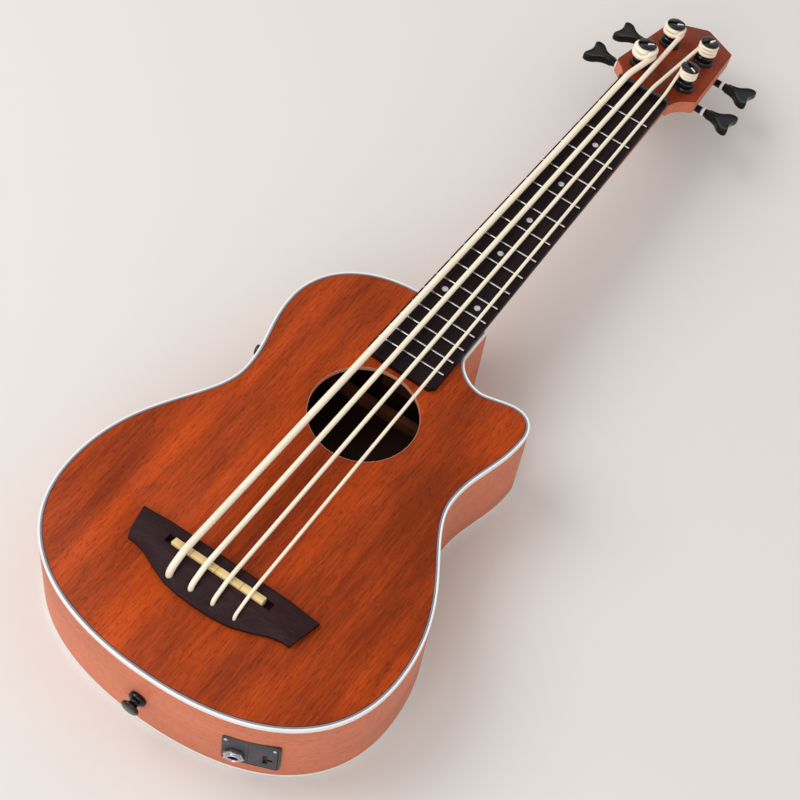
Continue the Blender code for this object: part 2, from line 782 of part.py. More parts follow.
def post_profile():
    cap_low = POST_TOP - POST_CAP
    return (
        (0, GEAR_LIFT - GEAR_FACE / 2 - 0.0012),
        (0.0026, GEAR_LIFT - GEAR_FACE / 2 - 0.0012),
        (0.0030, GEAR_LIFT - GEAR_FACE / 2 - 0.0004),
        (0.0030, GEAR_LIFT),
        (POST_SHAFT_R, GEAR_LIFT),
        (POST_SHAFT_R, BUSH_TOP + GAP),
        (POST_R, BUSH_TOP + GAP),
        (POST_R, cap_low),
        (POST_CAP_R, cap_low),
        (POST_CAP_R, POST_TOP - 0.0007),
        (POST_CAP_R - 0.0010, POST_TOP),
        (0, POST_TOP),
    )


def bushing_profile():
    bore = POST_SHAFT_R + GAP
    sleeve = HEAD_HOLE_R - GAP
    return (
        (bore, -0.0080),
        (sleeve, -0.0080),
        (sleeve, GAP),
        (BUSH_R, GAP),
        (BUSH_R, BUSH_TOP - 0.0011),
        (BUSH_R - 0.0018, BUSH_TOP),
        (bore, BUSH_TOP),
    )


def tuner_plate_mesh():
    """Plate behind the headstock with two ears that carry the worm's shaft."""
    low = PLATE_TOP - TUNER_PLATE
    outline = rounded_box_outline(0.0190, 0.0250, 0.004, 3)
    outline = [Vector((point.x, point.y + 0.0035)) for point in outline]
    return mesh_from("tuner_plate", prism(outline, low, PLATE_TOP))


def ear_mesh():
    """One ear, rounded at its free end, as a plan across X."""
    low = PLATE_TOP - TUNER_PLATE + 0.0004
    outline = [Vector((WORM_OFFSET - 0.0045, low)), Vector((WORM_OFFSET + 0.0045, low))]
    centre = Vector((WORM_OFFSET, GEAR_LIFT))
    for k in range(7):
        outline.append(centre + direction(-30 * k) * 0.0045)
    rings = []
    for x in (-EAR / 2, EAR / 2):
        rings.append([(x, point.x, point.y) for point in outline])
    return mesh_from("tuner_ear", loft(rings))


def make_tuner_plate(name, place, head):
    plate = add_object("tuner_plate_" + name, tuner_plate_mesh(), BLACK_METAL, place, head)
    for side in (-1, 1):
        offset = place @ Matrix.Translation((side * (EAR_X + EAR / 2), 0, 0))
        boolean(plate, cutter("ear_%s_%d" % (name, side), ear_mesh(), offset, head), "UNION")
    bore = mesh_from("plate_bore_" + name, rod(POST_SHAFT_R + GAP, -0.03, 0.0, 16))
    boolean(plate, cutter("plate_bore_" + name, bore, place, head))
    across = Matrix.Translation((0, WORM_OFFSET, GEAR_LIFT)) @ Matrix.Rotation(math.pi / 2, 4, "Y")
    shaft = mesh_from("ear_bore_" + name, rod(0.0024, -0.012, 0.012, 12))
    boolean(plate, cutter("ear_bore_" + name, shaft, place @ across, head))


def make_post(name, place, head):
    """String post with its toothed wheel, turning on the bushing."""
    body = mesh_from("post_" + name, turned(post_profile(), 20), 40)
    post = add_object("tuner_post_" + name, body, BLACK_METAL, place, head)
    wheel = cutter("wheel_" + name, mesh_from("wheel_" + name, gear_wheel()), place, head)
    boolean(post, wheel, "UNION")
    turn = place @ Matrix.Rotation(math.radians(35), 4, "Z")
    slot = box((-0.02, -POST_SLOT / 2, POST_TOP - 0.0015), (0.02, POST_SLOT / 2, 0.03))
    boolean(post, cutter("slot_" + name, mesh_from("slot_" + name, slot), turn, head))


def worm():
    """Worm along Z: one continuous thread of trapezoid section, closed by its shaft."""
    around = 10
    rows = around * WORM_TURNS
    root = WORM_R - 0.0011
    tip = WORM_R + 0.0007
    section = ((-0.29, root), (-0.125, tip), (0.125, tip), (0.29, root))
    bm = bmesh.new()
    grid = []
    for j in range(rows + 1):
        angle = WORM_START + 2 * math.pi * j / around
        height = WORM_LEAD * (j / around - WORM_TURNS / 2)
        row = []
        for share, radius in section:
            x = radius * math.cos(angle)
            y = radius * math.sin(angle)
            row.append(bm.verts.new((x, y, height + share * WORM_LEAD)))
        grid.append(row)
    for j in range(rows):
        for k in range(3):
            bm.faces.new((grid[j][k], grid[j + 1][k], grid[j + 1][k + 1], grid[j][k + 1]))
    for j in range(rows - around):
        bm.faces.new((grid[j][3], grid[j + 1][3], grid[j + 1 + around][0], grid[j + around][0]))
    low = shaft_circle(bm, root, -WORM_LEAD * (WORM_TURNS / 2 + 0.6), around)
    high = shaft_circle(bm, root, WORM_LEAD * (WORM_TURNS / 2 + 0.6), around)
    for j in range(around - 1):
        bm.faces.new((low[j], low[j + 1], grid[j + 1][0], grid[j][0]))
    bm.faces.new(
        (low[-1], low[0], grid[0][0], grid[0][3], grid[around][0], grid[around - 1][0])
    )
    bm.faces.new(grid[0])
    last = rows - around
    bm.faces.new(
        (grid[last][3], grid[last + 1][3], high[1], high[0], grid[rows][3], grid[rows][0])
    )
    for j in range(1, around):
        after = high[(j + 1) % around]
        bm.faces.new((grid[last + j][3], grid[last + j + 1][3], after, high[j]))
    bm.faces.new(grid[rows])
    return bm, low, high


def shaft_circle(bm, radius, height, around):
    circle = []
    for j in range(around):
        angle = WORM_START + 2 * math.pi * j / around
        circle.append(bm.verts.new((radius * math.cos(angle), radius * math.sin(angle), height)))
    return circle


def close_shaft(bm, circle, profile):
    """Carry a circle of vertices on along a turned profile and cap its end."""
    around = len(circle)
    for radius, height in profile:
        after = shaft_circle(bm, radius, height, around)
        for j in range(around):
            k = (j + 1) % around
            bm.faces.new((circle[j], circle[k], after[k], after[j]))
        circle = after
    bm.faces.new(circle)


def key_shaft_mesh():
    """Key shaft with its worm, thrust collars, bearing stub and washer ring."""
    bm, low, high = worm()
    root = WORM_R - 0.0011
    inner = EAR_X - GAP
    outer = EAR_X + EAR + GAP
    close_shaft(bm, low, (
        (root, -0.0060), (0.0030, -0.0060), (0.0030, -inner), (root, -inner), (root, -0.0110),
    ))
    close_shaft(bm, high, (
        (root, 0.0060), (0.0030, 0.0060), (0.0030, inner), (root, inner), (root, outer),
        (0.0030, outer), (0.0030, 0.0188), (0.0038, 0.0188), (0.0038, 0.0226), (0.0026, 0.0226),
        (0.0026, 0.0300),
    ))
    return mesh_from("key_shaft", bm, 40)


def key_outline():
    """Plan of the lobed key, along its shaft and across it."""
    half = bezier(
        Vector((0.0229, 0.0034)), Vector((0.0330, 0.0036)), Vector((0.0345, 0.0100)),
        Vector((0.0385, 0.0140)), 4,
    )
    half += bezier(
        Vector((0.0385, 0.0140)), Vector((0.0415, 0.0170)), Vector((0.0463, 0.0168)),
        Vector((0.0460, 0.0120)), 4,
    )
    half += bezier(
        Vector((0.0460, 0.0120)), Vector((0.0458, 0.0080)), Vector((0.0444, 0.0040)),
        Vector((0.0444, 0.0000)), 3,
    )
    middle = [Vector((0.0444, 0.0))]
    return half + middle + [Vector((point.x, -point.y)) for point in reversed(half)]


def key_blade_mesh():
    """Flat blade of the key with rounded edges, across the shaft's own Z axis."""
    outline = key_outline()[::-1]
    rings = []
    for height, depth in ((-0.0030, 0.0009), (-0.0021, 0), (0.0021, 0), (0.0030, 0.0009)):
        rings.append([(height, point.y, point.x) for point in inset(outline, -depth)])
    return mesh_from("key_blade", loft(rings), 50)


def make_key(name, place, head, side):
    """Key that turns in the plate's ears; its thread meets the wheel on the post."""
    axis = place @ Matrix.Translation((0, WORM_OFFSET, GEAR_LIFT))
    if side < 0:
        axis = axis @ Matrix.Rotation(math.pi, 4, "Y")
    along = axis @ Matrix.Rotation(math.pi / 2, 4, "Y")
    key = add_object("tuner_key_" + name, key_shaft_mesh(), BLACK_METAL, along, head)
    blade = cutter("key_blade_" + name, key_blade_mesh(), along, head)
    boolean(key, blade, "UNION")


def make_tuners(head):
    for name, across, along in tuner_places():
        place = Matrix.Translation((across, along, 0))
        side = 1 if across > 0 else -1
        bushing = mesh_from("bushing_" + name, turned(bushing_profile(), 20), 40)
        add_object("tuner_bushing_" + name, bushing, BLACK_METAL, place, head)
        make_tuner_plate(name, place, head)
        make_post(name, place, head)
        make_key(name, place, head, side)


def output_frame():
    """Frame of the output housing: X along its face, Y out of the body, Z up."""
    along = (OUTPUT_B - OUTPUT_A).normalized()
    out = Vector((along.y, -along.x, 0))
    middle = (OUTPUT_A + OUTPUT_B) / 2
    start = middle - along * OUTPUT_WIDTH / 2 + out * OUTPUT_PROUD
    frame = Matrix((along, out, Vector((0, 0, 1)))).transposed().to_4x4()
    return Matrix.Translation(start) @ frame


def make_output(side):
    """Output housing with jack, battery tray and battery, all in one slanted frame."""
    frame = output_frame()
    middle_z = (OUTPUT_LOW + OUTPUT_HIGH) / 2
    outline = rounded_box_outline(OUTPUT_WIDTH, OUTPUT_HIGH - OUTPUT_LOW, 0.003, 3)
    rings = []
    for y, trim in ((-0.0075, 0), (-0.0006, 0), (0, 0.0006)):
        ring = inset(outline, trim)
        rings.append([(p.x + OUTPUT_WIDTH / 2, y, p.y + middle_z) for p in ring])
    flange_mesh = mesh_from("output_housing", loft(rings), 40)
    housing = add_object("output_housing", flange_mesh, PLASTIC, frame)
    inner_body = prism(inset(BODY, -GAP), -0.01, 0.08)
    boolean(housing, cutter("body_shape", mesh_from("body_shape", inner_body)))
    wall = TRAY_WALL
    low = (DOOR_U[0] - GAP - wall, -TRAY_LENGTH - 0.0025, DOOR_Z[0] - GAP - wall)
    high = (DOOR_U[1] + GAP + wall, -0.0012, DOOR_Z[1] + GAP + wall)
    shell = cutter("tray_shell", mesh_from("tray_shell", box(low, high)), frame)
    boolean(housing, shell, "UNION")
    neck_low = (0.0010, -0.0090, JACK_Z - 0.0085)
    jack_boss = box(neck_low, (0.0200, -0.0015, JACK_Z + 0.0085))
    boss = cutter("jack_boss", mesh_from("jack_boss", jack_boss), frame)
    boolean(housing, boss, "UNION")
    room_low = (DOOR_U[0] - GAP, -TRAY_LENGTH - 0.0015, DOOR_Z[0] - GAP)
    room_high = (DOOR_U[1] + GAP, 0.01, DOOR_Z[1] + GAP)
    room = cutter("tray_room", mesh_from("tray_room", box(room_low, room_high)), frame)
    boolean(housing, room)
    drill_at = frame @ Matrix.Translation((JACK_U, 0, JACK_Z))
    drill_at = drill_at @ Matrix.Rotation(-math.pi / 2, 4, "X")
    drill = mesh_from("jack_hole", rod(0.0048, -0.03, 0.03, 20))
    boolean(housing, cutter("jack_hole", drill, drill_at))
    opening_low = (low[0] - GAP, -0.06, low[2] - GAP)
    opening_high = (high[0] + GAP, 0.02, high[2] + GAP)
    opening = cutter("side_opening", mesh_from("opening", box(opening_low, opening_high)), frame)
    boolean(side, opening)
    jack_low = (0.0010 - GAP, -0.02, JACK_Z - 0.0085 - GAP)
    jack_room = box(jack_low, (0.0205, 0.02, JACK_Z + 0.0085 + GAP))
    boolean(side, cutter("jack_opening", mesh_from("jack_opening", jack_room), frame))
    make_jack(drill_at)
    make_tray(frame)


def make_jack(place):
    """Jack socket: threaded barrel, hexagon nut and the closed body behind the housing."""
    profile = (
        (0, -0.0330),
        (0.0060, -0.0330),
        (0.0060, -0.0093),
        (0.0045, -0.0093),
        (0.0045, 0.0036),
        (0.0040, 0.0041),
        (0.0032, 0.0041),
        (0.0032, -0.0240),
        (0, -0.0240),
    )
    socket = add_object("jack_socket", mesh_from("jack_socket", turned(profile, 20), 40), CHROME)
    socket.matrix_basis = place
    nut = loft([
        [tuple(direction(60 * k + 12) * 0.0068) + (GAP,) for k in range(6)],
        [tuple(direction(60 * k + 12) * 0.0068) + (0.0022,) for k in range(6)],
        [tuple(direction(60 * k + 12) * 0.0062) + (0.0027,) for k in range(6)],
    ])
    boolean(socket, cutter("jack_nut", mesh_from("jack_nut", nut), place), "UNION")
    bore = cutter("jack_bore", mesh_from("jack_bore", rod(0.0032, -0.0240, 0.02, 20)), place)
    boolean(socket, bore)


def make_tray(frame):
    """Battery tray: door with a finger recess, two rails and an end wall."""
    u0, u1 = DOOR_U
    z0, z1 = DOOR_Z
    tray_mesh = mesh_from("battery_tray", box((u0, -TRAY_LENGTH, z0), (u1, 0.0, z1)))
    tray = add_object("battery_tray", tray_mesh, PLASTIC, frame)
    inner = 0.0002 + TRAY_WALL
    cradle = box((u0 - 0.01, -TRAY_LENGTH + TRAY_WALL, z0 + inner), (u1 + 0.01, -DOOR, z1 - inner))
    boolean(tray, cutter("cradle", mesh_from("cradle", cradle), frame))
    for name, low, high in (
        ("latch_bar", (u1 - 0.0092, -0.0014, 0.0217), (u1 - 0.0062, 0.01, 0.0335)),
        ("latch_stem", (u1 - 0.0090, -0.0014, 0.0262), (u1 - 0.0030, 0.01, 0.0290)),
    ):
        boolean(tray, cutter(name, mesh_from(name, box(low, high)), frame))
    length = BATTERY[1]
    width, _, height = BATTERY
    middle = Vector(((u0 + u1) / 2, -DOOR - GAP - length / 2 - 0.0012, (z0 + z1) / 2))
    outline = rounded_box_outline(width, height, 0.002, 3)
    rings = [[(p.x, y, p.y) for p in outline] for y in (-length / 2, length / 2)]
    battery_mesh = mesh_from("battery", loft(rings), 40)
    place = frame @ Matrix.Translation(middle)
    add_object("battery", battery_mesh, BATTERY_SKIN, place)


def preamp_frame():
    """Frame of the preamp panel: X along the wall, Y out of the body, Z up."""
    nearest = min(range(len(BODY)), key=lambda k: abs(BODY[k].y - PREAMP_Y) + (BODY[k].x > 0))
    before = BODY[nearest - 1]
    after = BODY[(nearest + 1) % len(BODY)]
    along = (after - before).normalized().to_3d()
    out = Vector((along.y, -along.x, 0))
    share = (PREAMP_Y - before.y) / (after.y - before.y)
    point = before.lerp(after, share).to_3d()
    frame = Matrix((along, out, Vector((0, 0, 1)))).transposed().to_4x4()
    return Matrix.Translation(point) @ frame


def make_preamp(side):
    """Preamp panel in the bass side with its circuit box and two knobs."""
    frame = preamp_frame()
    middle_z = (KNOB_Z[0] + KNOB_Z[1]) / 2
    outline = rounded_box_outline(0.0220, 0.0360, 0.003, 3)
    rings = []
    for y, trim in ((-0.0040, 0), (0.0012, 0), (0.0016, 0.0004)):
        rings.append([(p.x, y, p.y + middle_z) for p in inset(outline, trim)])
    panel_mesh = mesh_from("preamp_panel", loft(rings), 40)
    panel = add_object("preamp_panel", panel_mesh, PLASTIC, frame)
    wall = prism(inset(BODY, -GAP), -0.01, 0.08)
    boolean(panel, cutter("wall_shape", mesh_from("wall_shape", wall)))
    case = box((-0.0085, -0.0160, middle_z - 0.0155), (0.0085, 0.0006, middle_z + 0.0155))
    boolean(panel, cutter("preamp_case", mesh_from("preamp_case", case), frame), "UNION")
    room = box(
        (-0.0085 - GAP, -0.02, middle_z - 0.0155 - GAP),
        (0.0085 + GAP, 0.02, middle_z + 0.0155 + GAP),
    )
    boolean(side, cutter("preamp_opening", mesh_from("preamp_opening", room), frame))
    for name, height in zip(("volume_knob", "tone_knob"), KNOB_Z):
        place = frame @ Matrix.Translation((0, 0, height))
        place = place @ Matrix.Rotation(-math.pi / 2, 4, "X")
        bore = rod(0.0031, -0.0070, 0.02, 16)
        boolean(panel, cutter(name + "_bore", mesh_from(name + "_bore", bore), place))
        add_object(name, mesh_from(name, knob(), 40), BLACK, place)


def knob():
    base = 0.0016 + GAP
    profile = (
        (0, -0.0060),
        (0.0028, -0.0060),
        (0.0028, base),
        (KNOB_R, base),
        (KNOB_R - 0.0003, base + KNOB_H - 0.0008),
        (KNOB_R - 0.0012, base + KNOB_H),
        (0, base + KNOB_H),
    )
    return turned(profile, 16)


def make_strap_button():
    """Strap button on the tail: base flange, narrow waist and end disc."""
    profile = (
        (0, 0),
        (0.0060, 0),
        (0.0065, 0.0010),
        (0.0045, 0.0020),
        (0.0030, 0.0042),
        (0.0033, 0.0062),
        (0.0055, 0.0072),
        (0.0065, 0.0082),
        (0.0062, 0.0094),
        (0.0052, 0.0099),
        (0, 0.0099),
    )
    tail_y = BODY[0].y - GAP
    place = Matrix.Translation((0, tail_y, STRAP_Z)) @ Matrix.Rotation(math.pi / 2, 4, "X")
    button = mesh_from("strap_button", turned(profile, 16), 40)
    add_object("strap_button", button, BLACK_METAL, place)


def main():
    clear_scene()
    head = bpy.data.objects.new("head_frame", None)
    bpy.context.scene.collection.objects.link(head)
    head.matrix_basis = HEAD
    top = make_plates()
    make_bindings()
    bass_side, treble_side = make_sides()
    make_blocks()
    make_back_brace()
    make_neck(head)
    make_fretboard()
    make_frets()
    make_nut()
    bridge = make_bridge()
    make_saddle()
    drill_string_holes(top, bridge)
    make_strings()
    make_tuners(head)
    make_output(treble_side)
    make_preamp(bass_side)
    make_strap_button()


main()
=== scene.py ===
import json
import math

import bpy
from bpy.props import FloatProperty, FloatVectorProperty, PointerProperty
from bpy.types import Operator, Panel, PropertyGroup
from mathutils import Matrix, Vector
from mathutils.kdtree import KDTree


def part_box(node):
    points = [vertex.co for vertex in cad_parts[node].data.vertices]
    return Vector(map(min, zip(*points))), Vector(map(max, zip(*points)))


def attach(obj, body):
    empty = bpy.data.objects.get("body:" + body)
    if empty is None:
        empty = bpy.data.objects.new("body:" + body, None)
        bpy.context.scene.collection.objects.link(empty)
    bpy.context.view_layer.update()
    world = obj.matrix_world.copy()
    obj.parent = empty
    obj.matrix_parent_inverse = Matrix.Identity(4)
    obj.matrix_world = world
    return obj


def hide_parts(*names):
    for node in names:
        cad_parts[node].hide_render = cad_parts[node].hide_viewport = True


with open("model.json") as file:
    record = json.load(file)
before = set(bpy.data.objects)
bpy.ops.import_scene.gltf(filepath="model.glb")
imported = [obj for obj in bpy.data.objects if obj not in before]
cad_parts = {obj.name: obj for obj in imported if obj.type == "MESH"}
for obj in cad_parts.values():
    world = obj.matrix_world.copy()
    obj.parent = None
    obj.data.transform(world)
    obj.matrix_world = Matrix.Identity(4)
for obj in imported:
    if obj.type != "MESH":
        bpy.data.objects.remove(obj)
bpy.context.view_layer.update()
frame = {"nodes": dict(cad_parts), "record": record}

bl_info = {
    "name": "Bass ukulele finish",
    "version": (1, 0, 0),
    "blender": (4, 5, 0),
    "location": "View3D > Sidebar > Ukulele",
    "description": "Finishes a packed bass ukulele with woods, bindings, strings and tuners",
    "category": "Object",
}

SLOTS = {entry["node"]: entry["material_slot"] for entry in frame["record"]["subparts"]}
BODIES = frame["record"]["behaviour"]["bodies"]
BODY_OF = {node: body for body, nodes in BODIES.items() for node in nodes}
GAP = 0.0003
MERGE = 0.000002

# Body: heights of plates and bindings, widths of the strips along its edge, and the share
# of its solid's width that the brace on the back keeps
TOP_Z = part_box("top_plate")[1].z
PLATE = 0.0025
HAIR = 0.00003
TOP_INSET = 0.00305
BACK_INSET = 0.0015
BINDING_LOW = TOP_Z - 0.0040
BACK_BINDING = 0.0034
WALL = 0.0022
LINING = 0.006
LINING_DEPTH = 0.010
BRACE_SHARE = 0.6
HOLE_Y = 0.1544
HOLE_R = 0.0381
HOLE_EDGE = 0.00028

# Nodes of the body's outline, from the tail round by the treble side: place, direction
# of travel in degrees, handle before the node, handle after it, steps to the next node
BODY_NODES = (
    (0.0, -0.0812, 0, 0.0727, 0.0727, 30),
    (0.1292, 0.0117, 90, 0.0656, 0.0640, 26),
    (0.0848, 0.1359, 90, 0.0337, 0.0265, 16),
    (0.0967, 0.2045, 90, 0.0280, 0.0104, 12),
    (0.0793, 0.2234, 180, 0.0113, 0.0084, 10),
    (0.0531, 0.2181, 180, 0.0059, 0.0112, 12),
    (0.0289, 0.2378, 90, 0.0092, 0.001, 1),
    (0.0289, 0.2635, 180, 0.001, 0.001, 1),
    (-0.0289, 0.2635, 183, 0.001, 0.0421, 24),
    (-0.0962, 0.2045, 270, 0.0319, 0.0280, 16),
    (-0.0848, 0.1359, 270, 0.0265, 0.0337, 26),
    (-0.1292, 0.0117, 270, 0.0640, 0.0656, 30),
)

# Neck, nut and frets: the frets' shares of their solids' length and width, and how much of
# the neck's width goes by the depth of the body, up to a fade below the nut
SCALE_LENGTH = 0.530
FRET_SHARES = (0.955, 0.60)
NECK_TAPER = 0.68
NECK_TAPER_END = 0.536
NECK_TAPER_FADE = 0.022
BOARD_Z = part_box("fretboard")[1].z
NUT_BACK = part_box("nut")[1].y
HEAD_TILT = math.radians(11.8)
HEAD = Matrix.Translation((0.0, 0.536, 0.0720)) @ Matrix.Rotation(-HEAD_TILT, 4, "X")
DOT_ACROSS = 0.0135

# Strings: name, node, diameter, place across the nut and the saddle, place along the saddle,
# rows on the post
STRINGS = (
    ("E", "string_1_E", 0.0049, -0.0163, -0.0250, -0.0054, 2),
    ("A", "string_2_A", 0.00385, -0.0055, -0.0084, -0.0049, 2),
    ("D", "string_3_D", 0.0030, 0.0055, 0.0084, -0.0036, 3),
    ("G", "string_4_G", 0.0024, 0.0163, 0.0250, -0.0025, 3),
)
STRING_HOLE_Y = -0.0202
STRING_HOLE_CLEARANCE = 0.0006
STRING_BEND_Z = 0.0761
STRING_AT_SADDLE_Z = 0.0820
STRING_AT_NUT_Z = 0.0778
BEAD_TOP_Z = 0.0654
SADDLE_GAPS = (-0.0213, -0.0020, 0.0172)

# Turns on a post: points to each, gap between rows, height of the top row, and the shares of
# a turn at which it climbs to the next row, over which it climbs and at which the last ends
TURN_STEPS = 40
TURN_GAP = 0.00005
TURN_TOP = 0.0177
CLIMB_START = 0.78
CLIMB_SHARE = 0.18
ROW_END = 0.80
TAIL_SHARE = 0.12
TAIL_REACH = 0.55

# Tuners: post places on the headstock's face, across and along it, and the turns of the
# slots in their caps
POSTS = {
    "E": (-0.0195, 0.0310),
    "A": (-0.0155, 0.0770),
    "D": (0.0155, 0.0770),
    "G": (0.0195, 0.0310),
}
POST_R = 0.0050
SHAFT_R = 0.0042
CAP_R = 0.0075
CAP_TOP = 0.0200
CAP_DEPTH = 0.0020
CAP_SLOT = 0.0032
SLOT_ANGLES = {"E": 40, "A": 35, "D": 70, "G": -32}
FLANGE_R = 0.0073
FLANGE_TOP = 0.0074
BUSH_R = 0.0085
BUSH_TOP = 0.0030
WORM_OFFSET = 0.0100
SHAFT_LIFT = -0.0170

# Keys: thickness, the point that the rim and the dish shrink to, and their steps as the rise
# of each and the share of the plan that it keeps
KEY_THICK = 0.0058
KEY_MIDDLE = (0.0390, 0.0, 0.0)
KEY_RIM = ((0.0007, 0.985), (0.0005, 0.975), (0.0003, 0.965), (0.0001, 0.955))
KEY_DISH = ((-0.0002, 0.94), (-0.0004, 0.91), (-0.0002, 0.80), (0.0, 0.50))
WASHER = (0.0190, 0.0218)

# Output housing: the corner of its face at the outline, and its two plan directions
OUTPUT_START = Vector((0.059025, -0.075781, 0.0))
OUTPUT_ALONG = Vector((0.923163, 0.384409, 0.0))
OUTPUT_OUT = Vector((0.384409, -0.923163, 0.0))
JACK_U = 0.0085
JACK_Z = 0.0270
LATCH_U = (0.0260, 0.0290, 0.0322)
LATCH_Z = (0.0217, 0.0262, 0.0290, 0.0335)

# Preamp panel and strap button
PREAMP_START = Vector((-0.090878, 0.172, 0.0))
PREAMP_ALONG = Vector((0.234347, -0.972153, 0.0))
PREAMP_OUT = Vector((-0.972153, -0.234347, 0.0))
STRAP_Z = 0.035

# Turns that bring a piece's Z axis onto X or Y of its frame
TO_X = Matrix.Rotation(math.pi / 2, 4, "Y")
TO_Y = Matrix.Rotation(-math.pi / 2, 4, "X")

# Lights: name, place, size, power
LIGHTS = (
    ("key_light", (-1.5, -0.3, 1.9), 1.8, 26),
    ("fill_light", (0.3, -1.9, 1.3), 1.8, 16),
)
LIGHTS_AIM = Vector((0.0, 0.2, 0.05))
WORLD_LEVEL = 0.66

# Camera, worked out from the frets' places in the photograph: lens in millimetres, turn in
# degrees
CAMERA_LENS = 79.46
CAMERA_PLACE = (0.30107, -0.43080, 1.04321)
CAMERA_TURN = (34.250, -6.1576, 34.2562)


def srgb(red, green, blue):
    """Linear colour from values of 0 to 255."""
    linear = []
    for value in (red, green, blue):
        share = value / 255
        linear.append(share / 12.92 if share <= 0.04045 else ((share + 0.055) / 1.055) ** 2.4)
    return tuple(linear)


def scaled(colour, factor):
    return tuple(min(1.0, value * factor) for value in colour)


class Sum:
    """A shader socket that takes part in Python expressions."""

    def __init__(self, finish, socket):
        self.finish = finish
        self.socket = socket

    def math(self, operation, *values):
        inputs = dict(enumerate(values))
        return self.finish.node("ShaderNodeMath", {"operation": operation}, inputs)

    def __add__(self, other):
        return self.math("ADD", self, other)

    def __radd__(self, other):
        return self.math("ADD", other, self)

    def __sub__(self, other):
        return self.math("SUBTRACT", self, other)

    def __rsub__(self, other):
        return self.math("SUBTRACT", other, self)

    def __mul__(self, other):
        return self.math("MULTIPLY", self, other)

    def __rmul__(self, other):
        return self.math("MULTIPLY", other, self)


class Finish:
    """One material, built on its Principled shader."""

    def __init__(self, name, roughness=0.5, metallic=0.0, **constants):
        self.material = bpy.data.materials.new(name)
        self.material.use_nodes = True
        self.tree = self.material.node_tree
        self.shader = self.tree.nodes["Principled BSDF"]
        self.shader.inputs["Roughness"].default_value = roughness
        self.shader.inputs["Metallic"].default_value = metallic
        for socket, value in constants.items():
            self.shader.inputs[socket.replace("_", " ")].default_value = value

    def node(self, kind, settings, inputs, output=0):
        made = self.tree.nodes.new(kind)
        for name, value in settings.items():
            if name == "stops":
                self.fill_ramp(made.color_ramp, value)
            else:
                setattr(made, name, value)
        for key, value in inputs.items():
            socket = made.inputs[key]
            if isinstance(value, Sum):
                self.tree.links.new(value.socket, socket)
            else:
                socket.default_value = value
        return Sum(self, made.outputs[output])

    def fill_ramp(self, ramp, stops):
        while len(ramp.elements) < len(stops):
            ramp.elements.new(0.5)
        for element, (place, colour) in zip(ramp.elements, stops):
            element.position = place
            element.color = (*colour, 1.0)

    def noise(self, scale, detail=3.0, roughness=0.55, source="Object"):
        """Noise with as many cells to the metre on each axis as the scale says."""
        place = self.node("ShaderNodeTexCoord", {}, {}, source)
        vector = self.node("ShaderNodeMapping", {}, {"Vector": place, "Scale": scale})
        values = {"Vector": vector, "Scale": 1.0, "Detail": detail, "Roughness": roughness}
        return self.node("ShaderNodeTexNoise", {}, values, "Fac")

    def height(self):
        """Object Z of the point being shaded."""
        place = self.node("ShaderNodeTexCoord", {}, {}, "Object")
        return self.node("ShaderNodeSeparateXYZ", {}, {"Vector": place}, "Z")

    def step(self, value, low, high):
        settings = {"interpolation_type": "SMOOTHSTEP"}
        limits = {"Value": value, "From Min": low, "From Max": high}
        return self.node("ShaderNodeMapRange", settings, limits)

    def ramp(self, value, stops):
        return self.node("ShaderNodeValToRGB", {"stops": stops}, {"Fac": value})

    def blend(self, share, first, second):
        values = {0: share, 6: self.colour(first), 7: self.colour(second)}
        return self.node("ShaderNodeMix", {"data_type": "RGBA"}, values, 2)

    def colour(self, value):
        return value if isinstance(value, Sum) else (*value, 1.0)

    def feed(self, socket, value):
        self.tree.links.new(value.socket, self.shader.inputs[socket])

    def bump(self, height, distance, strength=0.4):
        values = {"Height": height, "Distance": distance, "Strength": strength}
        self.feed("Normal", self.node("ShaderNodeBump", {}, values))


def wood(name, tones, roughness, grain=1.0, pores=0.5, way="Y", painted_shade_above=None):
    """Wood with broad bands, ribbons, fine lines and short dark pores along its grain, and
    painted shade above a height.
    """
    deep, base, pale = tones
    finish = Finish(name, roughness, Specular_IOR_Level=0.12)
    source = "UV" if way == "UV" else "Object"

    def streaks(across, along, detail, roughness=0.55):
        across = across * grain
        scale = (across, along, across) if way == "Y" else (along, across, across)
        return finish.noise(scale, detail, roughness, source)

    bands = streaks(22, 1.4, 2.0)
    ribbons = streaks(75, 6.0, 3.0)
    lines = streaks(700, 40, 3.0, 0.6)
    drift = streaks(26, 12.0, 2.0)
    pore = streaks(1500, 190, 2.0)
    tone = bands * 0.34 + ribbons * 0.22 + lines * 0.24 + drift * 0.20
    colour = finish.ramp(tone, ((0.40, deep), (0.50, base), (0.60, pale)))
    mask = finish.step(pore, 0.55, 0.66)
    colour = finish.blend(mask * pores, colour, scaled(deep, 0.40))
    # Painted shade: above the given height the wood turns near black, for the shade inside the
    # body
    if painted_shade_above:
        inside = finish.step(finish.height(), painted_shade_above, painted_shade_above + 0.0002)
        colour = finish.blend(inside, colour, srgb(52, 32, 24))
    finish.feed("Base Color", colour)
    finish.feed("Roughness", mask * 0.15 + lines * 0.12 + (roughness - 0.06))
    finish.bump(lines * 0.4 - mask * 0.6, 0.00008, 0.30)
    return finish.material


def moulded(name, colour, roughness, metallic=0.0, spread=0.12, depth=0.00003, gloss=0.5):
    """Plastic, metal or bone with a faint unevenness in colour, gloss and surface."""
    finish = Finish(name, roughness, metallic, Specular_IOR_Level=gloss)
    fine = finish.noise((900, 900, 900), 3.0)
    wide = finish.noise((54, 54, 54), 2.0)
    shade = scaled(colour, 1 - spread)
    finish.feed("Base Color", finish.blend(finish.step(wide, 0.35, 0.65), shade, colour))
    finish.feed("Roughness", fine * 0.10 + wide * 0.10 + (roughness - 0.10))
    finish.bump(fine, depth, 0.25)
    return finish.material


